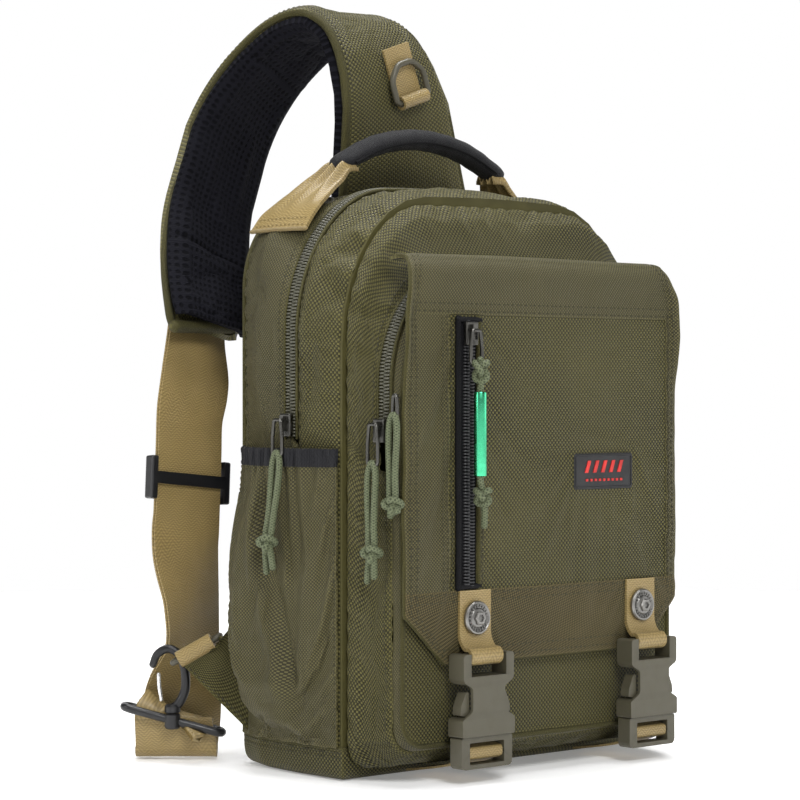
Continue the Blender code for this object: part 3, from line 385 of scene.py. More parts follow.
def bell(value, centre, width):
    """1 at centre, fading to nothing a few widths away."""
    return np.exp(-((value - centre) / width) ** 2)


def run_length(points):
    steps = np.linalg.norm(np.diff(points, axis=0), axis=1)
    return np.concatenate(([0.0], np.cumsum(steps)))


def evenly(points, count):
    """The polyline's points again, count of them, evenly spaced along it."""
    points = np.asarray(points, float)
    at = run_length(points)
    wanted = np.linspace(0.0, at[-1], count)
    return np.stack([np.interp(wanted, at, points[:, k]) for k in range(points.shape[1])], axis=1)


def curve_through(points, steps=8):
    """A Catmull-Rom curve through points that may hold any number of values each."""
    rows = np.asarray(points, float)
    ends = np.vstack((2 * rows[0] - rows[1], rows, 2 * rows[-1] - rows[-2]))
    path = []
    for a, b, c, d in zip(ends, ends[1:], ends[2:], ends[3:]):
        for k in range(steps):
            t = k / steps
            path.append(0.5 * (2 * b + (c - a) * t + (2 * a - 5 * b + 4 * c - d) * t ** 2
                               + (3 * b - a - 3 * c + d) * t ** 3))
    path.append(rows[-1])
    return np.array(path)


def ridged(points, scale, seed, octaves=2):
    """Smooth noise from about -1 to 1 at every point of a grid."""
    flat = np.asarray(points).reshape(-1, 3) * scale
    shift = Vector((seed * 3.7, seed * 1.3, seed * 2.1))
    values = [noise.fractal(Vector(p) + shift, 1.0, 2.0, octaves) for p in flat]
    return np.array(values).reshape(np.asarray(points).shape[:-1])


def finish_piece(name, mesh, body, replaces=()):
    made = bpy.data.objects.new(name, mesh)
    bpy.context.collection.objects.link(made)
    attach(made, body)
    if replaces:
        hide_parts(*replaces)
    return made


def mesh_from(name, points, faces, look, uvs=None, sharp=40.0):
    mesh = bpy.data.meshes.new(name)
    mesh.from_pydata([tuple(p) for p in points], [], faces)
    if uvs is not None:
        layer = mesh.uv_layers.new(name="UVMap")
        layer.data.foreach_set("uv", np.asarray(uvs, np.float32).ravel())
    mesh.materials.append(look)
    mesh.shade_smooth()
    mesh.set_sharp_from_angle(angle=math.radians(sharp))
    return mesh


class Skin:
    """A piece of cloth as a grid of points, with its normals and its lengths in metres."""

    def __init__(self, points, inside, wrap=False):
        self.points, self.inside, self.wrap = np.array(points, float), np.array(inside, float), wrap
        self.refresh()
        rows, columns = self.points.shape[:2]
        self.v = run_length(self.points[:, columns // 2])
        self.u = run_length(self.points[rows // 2])

    def refresh(self):
        if self.wrap:
            along = np.roll(self.points, -1, axis=1) - np.roll(self.points, 1, axis=1)
        else:
            along = np.gradient(self.points, axis=1)
        normals = unit(np.cross(along, np.gradient(self.points, axis=0)))
        if np.sum(normals * (self.points - self.inside)) < 0:
            normals = -normals
        self.normals = normals

    def lift(self, amounts):
        self.points = self.points + self.normals * amounts[..., None]

    def push(self, amounts):
        self.lift(amounts)
        self.refresh()

    def hump(self):
        """0 at the first and the last row and 1 half way between them."""
        return np.sin(math.pi * self.v / self.v[-1])[:, None]

    def at(self, row, column, lift=0.0):
        """The place and the normal at row, column, each from 0 to 1."""
        rows, columns = self.points.shape[:2]
        r, c = np.clip(row, 0, 1) * (rows - 1), np.clip(column, 0, 1) * (columns - 1)
        i, j = np.minimum(r.astype(int), rows - 2), np.minimum(c.astype(int), columns - 2)
        a, b = (r - i)[:, None], (c - j)[:, None]

        def between(grid):
            return ((grid[i, j] * (1 - b) + grid[i, j + 1] * b) * (1 - a)
                    + (grid[i + 1, j] * (1 - b) + grid[i + 1, j + 1] * b) * a)

        normal = unit(between(self.normals))
        return between(self.points) + normal * lift, normal

    def across(self, row, start=0.0, end=1.0, lift=0.0, count=400):
        column = np.linspace(start, end, count)
        return self.at(np.full(count, float(row)), column, lift)

    def down(self, column, start=0.0, end=1.0, lift=0.0, count=400):
        row = np.linspace(start, end, count)
        return self.at(row, np.full(count, float(column)), lift)


def shell(name, skin, thickness, look, body, replaces=(), back=None, turn_weave=False):
    """The closed solid of a skin, thickened inwards; back is the look of its inner face."""
    rows, columns = skin.points.shape[:2]
    outer = skin.points.reshape(-1, 3)
    inner = (skin.points - skin.normals * thickness).reshape(-1, 3)
    count = rows * columns
    last = columns if skin.wrap else columns - 1
    total = skin.u[-1] + (np.linalg.norm(skin.points[rows // 2, -1] - skin.points[rows // 2, 0])
                          if skin.wrap else 0)
    u = np.append(skin.u, total)
    faces, uvs, looks = [], [], []

    def add(corners, cells, inside):
        faces.append(corners)
        looks.append(1 if inside and back is not None else 0)
        for i, j in cells:
            uvs.append((skin.v[i], u[j]) if turn_weave else (u[j], skin.v[i]))

    i, j = rows // 2, columns // 2
    a, b, c = skin.points[i, j], skin.points[i, (j + 1) % columns], skin.points[i + 1, j]
    flip = np.dot(np.cross(b - a, c - a), skin.normals[i, j]) < 0
    for i in range(rows - 1):
        for j in range(last):
            k = (j + 1) % columns
            quad = [i * columns + j, i * columns + k, (i + 1) * columns + k, (i + 1) * columns + j]
            cells = [(i, j), (i, j + 1), (i + 1, j + 1), (i + 1, j)]
            if flip:
                quad, cells = quad[::-1], cells[::-1]
            add(quad, cells, False)
            add([q + count for q in reversed(quad)], cells[::-1], True)
    rim = [[(0, j), (0, j + 1)] for j in range(last)]
    rim += [[(rows - 1, j + 1), (rows - 1, j)] for j in range(last)]
    if not skin.wrap:
        rim += [[(i + 1, 0), (i, 0)] for i in range(rows - 1)]
        rim += [[(i, columns - 1), (i + 1, columns - 1)] for i in range(rows - 1)]
    for one, two in rim:
        p, q = (one[0] * columns + one[1] % columns), (two[0] * columns + two[1] % columns)
        quad, cells = [q, p, p + count, q + count], [two, one, one, two]
        if flip:
            quad, cells = quad[::-1], cells[::-1]
        add(quad, cells, False)
    mesh = mesh_from(name, np.vstack((outer, inner)), faces, look, uvs, 55.0)
    if back is not None:
        mesh.materials.append(back)
        mesh.polygons.foreach_set("material_index", looks)
    return finish_piece(name, mesh, body, replaces)


def relax(skin, pinned, grow=0.02, pressure=0.0, gravity=0.0, frames=14, cap=0.004, bending=0.4):
    """Cloth simulation of a skin whose pinned points stay. The cloth is cut too large, so it wrinkles."""
    rows, columns = skin.points.shape[:2]
    last = columns if skin.wrap else columns - 1
    faces = [[i * columns + j, i * columns + (j + 1) % columns, (i + 1) * columns + (j + 1) % columns,
              (i + 1) * columns + j] for i in range(rows - 1) for j in range(last)]
    mesh = bpy.data.meshes.new("cloth")
    mesh.from_pydata([tuple(p) for p in skin.points.reshape(-1, 3)], [], faces)
    mesh.update()
    centre = mesh.polygons[len(mesh.polygons) // 2]
    outward = skin.normals.reshape(-1, 3)[centre.vertices[0]]
    if np.dot(np.array(centre.normal), outward) < 0:
        mesh.flip_normals()
    cloth = bpy.data.objects.new("cloth", mesh)
    bpy.context.collection.objects.link(cloth)
    group = cloth.vertex_groups.new(name="pinned")
    group.add([int(k) for k in np.flatnonzero(pinned.ravel())], 1.0, "REPLACE")
    modifier = cloth.modifiers.new("cloth", "CLOTH")
    settings = modifier.settings
    settings.quality, settings.mass = 6, 0.15
    settings.tension_stiffness = settings.compression_stiffness = 18.0
    settings.shear_stiffness, settings.bending_stiffness = 6.0, bending
    settings.tension_damping = settings.compression_damping = settings.shear_damping = 12.0
    settings.air_damping = 2.0
    settings.vertex_group_mass = "pinned"
    settings.shrink_min = -grow
    settings.use_pressure, settings.uniform_pressure_force = pressure != 0.0, pressure
    settings.effector_weights.gravity = gravity
    modifier.collision_settings.use_collision = False
    modifier.point_cache.frame_start, modifier.point_cache.frame_end = 1, frames
    scene = bpy.context.scene
    for step in range(1, frames + 1):
        scene.frame_set(step)
    settled = cloth.evaluated_get(bpy.context.evaluated_depsgraph_get()).to_mesh()
    moved = np.empty(len(settled.vertices) * 3)
    settled.vertices.foreach_get("co", moved)
    shift = moved.reshape(skin.points.shape) - skin.points
    far = np.linalg.norm(shift, axis=-1, keepdims=True)
    shift *= np.where(far > 0, cap * np.tanh(far / cap) / np.maximum(far, 1e-9), 0.0)
    skin.points = skin.points + shift
    skin.refresh()
    bpy.data.objects.remove(cloth, do_unlink=True)
    scene.frame_set(1)


STITCHES = {}       # (body, look) -> the runs of stitches sewn there
STITCH, STITCH_GAP, THREAD_RADIUS = 0.0024, 0.0011, 0.00034
BOX_PITCH = 0.0028  # the closer stitches of a sewn box


def sew(body, look, run, lift=0.0002, pitch=STITCH + STITCH_GAP):
    """Notes a run of stitches along a path on a surface: (points, normals)."""
    STITCHES.setdefault((body, look.name), []).append((run, lift, pitch))


def build_stitches():
    for (body, look), runs in STITCHES.items():
        points, faces = [], []
        for (path, normals), lift, pitch in runs:
            at = run_length(path)
            count = max(1, int(at[-1] / pitch))
            for k in range(count):
                ends = at[-1] * (k + 0.5) / count + np.array((-0.5, -0.28, 0.28, 0.5)) * (pitch - STITCH_GAP)
                spots = np.stack([np.interp(ends, at, path[:, a]) for a in range(3)], axis=1)
                normal = normals[min(int(len(normals) * (k + 0.5) / count), len(normals) - 1)]
                ahead = unit(spots[3] - spots[0])
                side = unit(np.cross(ahead, normal))
                first = len(points)
                points.append(spots[0] - normal * 0.0001)
                for spot in spots[1:3]:
                    centre = spot + normal * lift
                    for a, b in ((1, 0), (0, 1), (-1, 0), (0, -1)):
                        points.append(centre + (side * a * 1.25 + normal * b) * THREAD_RADIUS)
                points.append(spots[3] - normal * 0.0001)
                for a in range(4):
                    b = (a + 1) % 4
                    faces.append((first, first + 1 + a, first + 1 + b))
                    faces.append((first + 1 + a, first + 5 + a, first + 5 + b, first + 1 + b))
                    faces.append((first + 9, first + 5 + b, first + 5 + a))
        mesh = mesh_from("stitches_" + body, points, faces, bpy.data.materials[look], None, 80.0)
        finish_piece("stitches_%s_%s" % (body, look), mesh, body)


def frames_along(path, start_side=None, closed=False):
    """Tangents, sides and normals carried along a path without twist."""
    path = np.asarray(path, float)
    if closed:
        tangents = unit(np.roll(path, -1, axis=0) - np.roll(path, 1, axis=0))
    else:
        tangents = unit(np.gradient(path, axis=0))
    side = np.array(start_side if start_side is not None else (0.0, 0.0, 1.0), float)
    if abs(np.dot(unit(side), tangents[0])) > 0.95:
        side = np.array((1.0, 0.0, 0.0))
    sides = []
    for tangent in tangents:
        side = unit(side - tangent * np.dot(side, tangent))
        sides.append(side)
    sides = np.array(sides)
    return tangents, sides, np.cross(tangents, sides)


def rod_mesh(name, path, radius, look, sides=12, closed=False, flat=1.0, start_side=None):
    """A round or flattened rod along a path, with domed ends. UVs are turns and metres."""
    path = np.asarray(path, float)
    radii = np.broadcast_to(np.asarray(radius, float), (len(path),)).copy()
    if not closed:
        tangents, _, _ = frames_along(path, start_side)
        dome = ((0.0, 0.35), (0.45, 0.85))
        head = [path[0] - tangents[0] * radii[0] * (0.8 - a * 0.8) for a, _ in dome]
        tail = [path[-1] + tangents[-1] * radii[-1] * (0.8 - a * 0.8) for a, _ in reversed(dome)]
        radii = np.concatenate(([radii[0] * r for _, r in dome], radii,
                                [radii[-1] * r for _, r in reversed(dome)]))
        path = np.vstack((head, path, tail))
    _, side, normal = frames_along(path, start_side, closed)
    if closed:      # spread the twist left over after one turn round the loop
        tangent = unit(path[1] - path[-1])
        carried = unit(side[-1] - tangent * np.dot(side[-1], tangent))
        over = math.atan2(np.dot(np.cross(side[0], carried), tangent), np.dot(side[0], carried))
        turn = -over * np.arange(len(path)) / len(path)
        side, normal = (side * np.cos(turn)[:, None] + normal * np.sin(turn)[:, None],
                        normal * np.cos(turn)[:, None] - side * np.sin(turn)[:, None])
    angle = np.linspace(0, 2 * math.pi, sides, endpoint=False)
    ring = (side[:, None] * np.cos(angle)[None, :, None]
            + normal[:, None] * np.sin(angle)[None, :, None] * flat)
    points = (path[:, None] + ring * radii[:, None, None]).reshape(-1, 3)
    at = run_length(np.vstack((path, path[:1])) if closed else path)
    faces, uvs = [], []
    for i in range(len(path) if closed else len(path) - 1):
        k = (i + 1) % len(path)
        for j in range(sides):
            m = (j + 1) % sides
            faces.append((i * sides + j, i * sides + m, k * sides + m, k * sides + j))
            uvs += [(j / sides, at[i]), ((j + 1) / sides, at[i]), ((j + 1) / sides, at[i + 1]),
                    (j / sides, at[i + 1])]
    if not closed:
        faces += [tuple(range(sides - 1, -1, -1)), tuple((len(path) - 1) * sides + j for j in range(sides))]
        uvs += [(0.5, 0.0)] * (2 * sides)
    return mesh_from(name, points, faces, look, uvs, 60.0)


def rod(name, path, radius, look, body, slot, replaces=(), **options):
    return finish_piece(name, rod_mesh(name, path, radius, look, **options), body, replaces)


def fillet(corners, steps=6):
    """A closed outline through (x, y, radius) corners, each one an arc."""
    outline = []
    for k, (x, y, radius) in enumerate(corners):
        here = np.array((x, y))
        before = unit(np.array(corners[k - 1][:2]) - here)
        after = unit(np.array(corners[(k + 1) % len(corners)][:2]) - here)
        half = math.acos(np.clip(np.dot(before, after), -1, 1)) / 2
        centre = here + unit(before + after) * (radius / math.sin(half))
        start = here + before * (radius / math.tan(half)) - centre
        end = here + after * (radius / math.tan(half)) - centre
        first = math.atan2(start[1], start[0])
        turn = (math.atan2(end[1], end[0]) - first + math.pi) % (2 * math.pi) - math.pi
        for step in range(steps + 1):
            angle = first + turn * step / steps
            outline.append(centre + radius * np.array((math.cos(angle), math.sin(angle))))
    return np.array(outline)


# ---------------------------------------------------------------- the cords come first
CORD_RADIUS = 0.0019
STRAND_SPREAD, TAIL_SPREAD = 0.0027, 0.0040     # how far a strand and its cut tail lie from the middle
KNOT_SIZE = (0.0098, 0.0088, 0.0058)
# pull, the fold's place from the ring's foot, the knot's height, sway, lean outwards, turn of the tails
FOLDED_CORDS = (
    ("main", (-0.0006, 0, 0.0030), 0.1325, -0.0012, -0.0070, -0.6),
    ("front", (-0.0004, 0, 0.0028), 0.1290, 0.0008, -0.0004, 0.2),
    ("pocket", (-0.0012, 0, 0.0024), 0.1560, 0.0006, -0.0006, -0.3),
)


def knot_path(centre, width, height, depth):
    """An overhand knot pulled snug, as a closed trefoil."""
    path = []
    for k in range(72):
        a = 2 * math.pi * k / 72
        x = math.sin(a) + 2 * math.sin(2 * a)
        z = math.cos(a) - 2 * math.cos(2 * a)
        path.append((x / 3 * width / 2, math.sin(3 * a) * depth / 2, z / 3 * height / 2))
    return np.array(path) + np.array(centre)


def turned_to(points, centre, across):
    """Points about centre whose local X is turned to point along across."""
    across = unit(np.array(across, float))
    depth = np.cross(UP, across)
    local = points - np.array(centre)
    return np.array(centre) + (local[:, :1] * across + local[:, 1:2] * depth + local[:, 2:] * UP)


def lay_cord(name, body, nodes, path, **facts):
    """The strand itself along its path."""
    strand = rod(name, path, CORD_RADIUS, CORD_LOOK, body, "sage_cord", nodes, sides=12)


def pull_cord(word, top, knot_z, sway, lean, turn):
    """A cord folded over the pull ring: two strands, one overhand knot, two cut tails."""
    name, body, node = word + "_pull_cord", word + "_pull_body", word + "_cord"
    across = ALONG_Y
    out = np.cross(across, UP)
    tail_z = low(node, 2) + 0.001
    for letter, side in (("a", 1.0), ("b", -1.0)):
        points = [top + across * side * 0.0002, top + across * side * 0.0016 - UP * 0.0010]
        for t in (0.12, 0.3, 0.5, 0.7, 0.88):
            wave = sway * math.sin(math.pi * t) + side * 0.0005 * math.sin(2 * math.pi * t)
            points.append(top + across * (side * STRAND_SPREAD + wave) - UP * (top[2] - knot_z) * t
                          + out * lean * t)
        points.append(np.array((*(top + across * side * 0.0018 + out * lean)[:2], knot_z)))
        for t in (0.5, 1.0):
            aside = side * mix(0.0020, TAIL_SPREAD, t) + turn * 0.004 * t
            spot = top + across * aside + out * (lean + side * 0.001 * t)
            points.append(np.array((*spot[:2], mix(knot_z, tail_z if side > 0 else tail_z + 0.003, t))))
        lay_cord("%s_%s" % (name, letter), body, (node,) if side > 0 else (), curve_through(points, 5))
    centre = (*(top + out * lean)[:2], knot_z)
    shape = turned_to(knot_path(centre, *KNOT_SIZE), centre, across)
    rod(name + "_knot", shape, CORD_RADIUS, CORD_LOOK, body, "sage_cord", closed=True, sides=12)


def ring_bottom(node):
    low_corner, high_corner = (np.array(c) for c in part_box(node))
    return np.array((*(low_corner + high_corner)[:2] / 2, low_corner[2]))


def build_cords():
    for word, shift, knot_z, sway, lean, turn in FOLDED_CORDS:
        pull_cord(word, ring_bottom(word + "_pull") + shift, knot_z, sway, lean, turn)

    # the flap's cord is one strand: looped on the ring, through the tube bead, knotted under it
    bead_low, bead_high = (np.array(c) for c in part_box("bead"))
    x, y = (bead_low + bead_high)[:2] / 2
    top = high("flap_cord_upper", 2) - 0.0015
    points = [(x, y, top), (x + 0.0008, y, top - 0.006), (x + 0.0004, y, bead_high[2] + 0.003),
              (x, y, bead_high[2]), (x, y, (bead_low + bead_high)[2] / 2), (x, y, bead_low[2]),
              (x + 0.0008, y, bead_low[2] - 0.005), (x + 0.0025, y, 0.1585), (x + 0.0034, y, 0.1500),
              (x + 0.0030, y, low("flap_cord_lower", 2) + 0.001)]
    lay_cord("flap_pull_cord", "flap_pull_body", ("flap_cord_upper", "flap_cord_lower"),
             curve_through(points, 6), with_pieces=["bead"])
    for name, z, width, height in (("low", 0.1600, 0.0096, 0.0090), ("high", 0.2300, 0.0088, 0.0120)):
        centre = (x + (0.0018 if name == "low" else 0.0004), y, z)
        rod("flap_pull_knot_" + name, knot_path(centre, width, height, 0.0056), CORD_RADIUS, CORD_LOOK,
            "flap_pull_body", "sage_cord", closed=True, sides=12)


build_cords()


# ---------------------------------------------------------------- the bag's outlines, as the CAD model's
BACK_Y = high("back_panel", 1)
MAIN_ZIP_Y = (low("main_zip", 1) + high("main_zip", 1)) / 2
FRONT_ZIP_Y = (low("front_zip", 1) + high("front_zip", 1)) / 2
FRONT_Y = low("front_panel", 1)
HEM_Z = high("bottom_tray", 2)
ZIP_END_Z = low("main_zip", 2)
BAG_HALF_WIDTH = high("rear_gusset", 0)
BODY_CROWN, FRONT_CROWN, FRONT_CORNER = 0.006, 0.003, 0.016
# y, half width, roof height, corner radius across, corner radius up
BODY_SECTIONS = (
    (BACK_Y, 0.1070, 0.323, 0.034, 0.045),
    (0.0450, 0.1150, 0.329, 0.048, 0.060),
    (MAIN_ZIP_Y, BAG_HALF_WIDTH, 0.331, 0.068, 0.080),
    (-0.0305, 0.1165, 0.325, 0.062, 0.082),
)
# the same, and the height of the underside
FRONT_SECTIONS = (
    (-0.0300, 0.1152, 0.3250, 0.060, 0.078, 0.0060),
    (-0.0400, 0.1140, 0.3130, 0.057, 0.074, 0.0090),
    (-0.0520, 0.1100, 0.2860, 0.052, 0.064, 0.0125),
    (-0.0642, 0.1090, 0.2810, 0.050, 0.060, 0.0180),
    (FRONT_Y, 0.1075, 0.2750, 0.050, 0.060, 0.0215),
)
BODY_MIDDLE = (0.0, 0.02, 0.17)
FRONT_MIDDLE = (0.0, -0.05, 0.15)


def section_at(table, y):
    ys = [-row[0] for row in table]
    return [float(np.interp(-y, ys, [row[k] for row in table])) for k in range(1, len(table[0]))]


def half_arch(half_width, roof, across, up, crown, bottom):
    """One side's outline from its low edge up to the middle of the roof, as (x > 0, z)."""
    spring = roof - up
    wall = [(half_width, z) for z in np.linspace(bottom, spring, 40, endpoint=False)]
    angle = np.linspace(0, math.pi / 2, 28)
    corner = list(zip(half_width - across + across * np.cos(angle), spring + up * np.sin(angle)))
    roof_run = [(x, roof) for x in np.linspace(half_width - across, 0.0, 16)[1:]]
    return np.array([(x, z + (crown * (1 - (x / half_width) ** 2) if z > spring else 0.0))
                     for x, z in wall + corner + roof_run])


def body_arch(y, count, bottom=HEM_Z + 0.0003):
    half = half_arch(*section_at(BODY_SECTIONS, y), BODY_CROWN, bottom)
    return evenly(np.vstack((half * (-1, 1), half[::-1][1:])), count)


def front_arch(y, count, bottom=None):
    half_width, roof, across, up, under = section_at(FRONT_SECTIONS, y)
    half = half_arch(half_width, roof, across, up, FRONT_CROWN,
                     under + FRONT_CORNER if bottom is None else bottom)
    return evenly(np.vstack((half * (-1, 1), half[::-1][1:])), count)


def front_ring(y, count):
    """The front compartment's closed outline, starting in the middle of its underside."""
    half_width, roof, across, up, under = section_at(FRONT_SECTIONS, y)
    half = half_arch(half_width, roof, across, up, FRONT_CROWN, under + FRONT_CORNER)
    angle = np.linspace(0, math.pi / 2, 10)
    corner = np.stack((half_width - FRONT_CORNER + FRONT_CORNER * np.sin(angle),
                       under + FRONT_CORNER * (1 - np.cos(angle))), axis=1)
    floor = np.stack((np.linspace(0, half_width - FRONT_CORNER, 20, endpoint=False), np.full(20, under)),
                     axis=1)
    right = np.vstack((floor, corner[:-1], half))
    whole = np.vstack((right * (-1, 1), right[::-1][1:-1], right[:1]))
    return evenly(whole, count + 1)[:-1]


def gusset_points(outline, back, front_low, front_high, rows, count, zip_end=ZIP_END_Z):
    """A gusset from back to its front edge, which steps back above the zip's end."""
    stations = np.linspace(back, min(front_low, front_high), 20)
    outlines = np.array([outline(y, count) for y in stations])
    heights = outlines[0, :, 1]
    front = mix(front_low, front_high, smooth(zip_end - 0.006, zip_end + 0.001, heights))
    grid = np.empty((rows, count, 3))
    for i, t in enumerate(np.linspace(0, 1, rows)):
        y = mix(back, front, t)
        k = np.clip((back - y) / (back - stations[-1]) * 19, 0, 18.999)
        a, f = k.astype(int), (k - k.astype(int))[:, None]
        j = np.arange(count)
        spot = outlines[a, j] * (1 - f) + outlines[a + 1, j] * f
        grid[i] = np.stack((spot[:, 0], y, spot[:, 1]), axis=1)
    return grid


def edge_roll(skin, depth, width, start=True, end=True):
    """Turns the first and the last rows under, as cloth does at a seam."""
    at = skin.v
    amount = np.zeros_like(at)
    if start:
        amount -= depth * (1 - smooth(0.0, width, at)) ** 2
    if end:
        amount -= depth * (1 - smooth(0.0, width, at[-1] - at)) ** 2
    skin.push(np.broadcast_to(amount[:, None], skin.points.shape[:2]).copy())


def seam_puckers(skin, height, reach, wave, seed, start=True, end=True):
    """Short gathers that run out from the seams at the first and the last row."""
    along = skin.u[None, :] + 0.3 * wave * ridged(skin.points, 1 / (3 * wave), seed)
    ripple = np.sin(2 * math.pi * along / wave) * (0.6 + 0.4 * ridged(skin.points, 30.0, seed + 1))
    at = skin.v[:, None]
    near = np.zeros_like(ripple)
    if start:
        near = near + np.exp(-(at / reach))
    if end:
        near = near + np.exp(-((at[-1] - at) / reach))
    skin.push(height * ripple * near)


def pin_edges(skin, columns=True):
    pinned = np.zeros(skin.points.shape[:2], bool)
    pinned[0] = pinned[-1] = True
    if columns and not skin.wrap:
        pinned[:, 0] = pinned[:, -1] = True
    return pinned


# ---------------------------------------------------------------- zips
def zip_along(name, path, outward, half_width, body, node, tape_look, coil_look, pitch=0.0019,
              rise=0.0016):
    """A tape in its slot and two rows of coil teeth meshed along its middle."""
    path, outward = np.asarray(path, float), np.asarray(outward, float)
    tangents = unit(np.gradient(path, axis=0))
    across = unit(np.cross(tangents, outward))
    columns = np.linspace(-1, 1, 9)
    grid = path[:, None] + across[:, None] * (columns * half_width)[None, :, None]
    grid = grid + outward[:, None] * (0.0004 * (1 - np.abs(columns)) - 0.0004)[None, :, None]
    tape = Skin(grid.transpose(1, 0, 2), path.mean(axis=0))
    tape.normals = np.broadcast_to(outward[None], tape.points.shape).copy()
    shell(name + "_tape", tape, 0.0006, tape_look, body, (node,), turn_weave=True)

    at = run_length(path)
    count = int(at[-1] / pitch)
    points, faces = [], []
    profile = ((-0.0006, 0.0), (0.0003, rise * 0.85), (0.0020, rise), (0.0036, rise * 0.75), (0.0041, 0.0))
    for side in (1.0, -1.0):
        for k in range(count):
            s = (k + (0.25 if side > 0 else 0.75)) * at[-1] / count
            centre, ahead, out, over = (np.array([np.interp(s, at, grid_[:, a]) for a in range(3)])
                                        for grid_ in (path, tangents, outward, across))
            first, half = len(points), pitch * 0.31
            for y, z in profile:
                middle = centre + over * side * y + out * (z + 0.0001)
                points += [middle - ahead * half, middle - ahead * half * 0.45 + out * 0.0005,
                           middle + ahead * half * 0.45 + out * 0.0005, middle + ahead * half]
            for a in range(len(profile) - 1):
                for b in range(3):
                    p = first + a * 4 + b
                    quad = (p, p + 1, p + 5, p + 4)
                    faces.append(quad if side < 0 else quad[::-1])
                quad = (first + a * 4 + 3, first + a * 4, first + a * 4 + 4, first + a * 4 + 7)
                faces.append(quad if side < 0 else quad[::-1])
            ends = (first, first + 1, first + 2, first + 3), tuple(first + 16 + b for b in (3, 2, 1, 0))
            faces += [e[::-1] if side < 0 else e for e in ends]
    mesh = mesh_from(name + "_coil", points, faces, coil_look, None, 70.0)
    finish_piece(name + "_coil", mesh, body)


def arch_with_y(outline, y):
    return np.stack((outline[:, 0], np.full(len(outline), y), outline[:, 1]), axis=1)


def arch_outward(path):
    ahead = unit(np.gradient(path, axis=0))
    return np.stack((-ahead[:, 2], np.zeros(len(path)), ahead[:, 0]), axis=1)


def fold_edge(name, path, radius, look=OLIVE_FINE, body="bag", **options):
    return rod(name, path, radius, look, body, "olive_fabric", sides=8, **options)


# ---------------------------------------------------------------- main body
def radial_disc(outline, y, rings, inside, centre=(0.0, 0.16)):
    """A wall across a closed outline, as rings that grow from the centre."""
    reach = np.linspace(0.0002, 1.0, rings)
    middle = np.array(centre)
    grid = middle + (outline[None] - middle) * reach[:, None, None]
    points = np.stack((grid[..., 0], np.full(grid.shape[:2], y), grid[..., 1]), axis=2)
    return Skin(points, inside, wrap=True), reach


def planar_uv(made):
    """Lays the weave straight across a wall, whatever its grid."""
    mesh = made.data
    spots = np.empty(len(mesh.vertices) * 3)
    mesh.vertices.foreach_get("co", spots)
    loops = np.empty(len(mesh.loops), np.int32)
    mesh.loops.foreach_get("vertex_index", loops)
    uvs = spots.reshape(-1, 3)[loops][:, (0, 2)]
    mesh.uv_layers["UVMap"].data.foreach_set("uv", uvs.astype(np.float32).ravel())


def soft_swell(skin, amount):
    """Lifts the middle of a panel between its seams."""
    skin.push(np.broadcast_to(amount * skin.hump(), skin.points.shape[:2]).copy())


def hold_under_pocket(skin):
    """The side pockets hold the gusset in: its swell fades out below their mouths."""
    x, y, z = (skin.points[..., k] for k in range(3))
    widest = np.interp(-y, [-row[0] for row in BODY_SECTIONS], [row[1] for row in BODY_SECTIONS])
    free = widest + 0.0004 + 0.0100 * smooth(0.186, 0.215, z)
    skin.points[..., 0] = np.sign(x) * np.minimum(np.abs(x), free)
    skin.refresh()


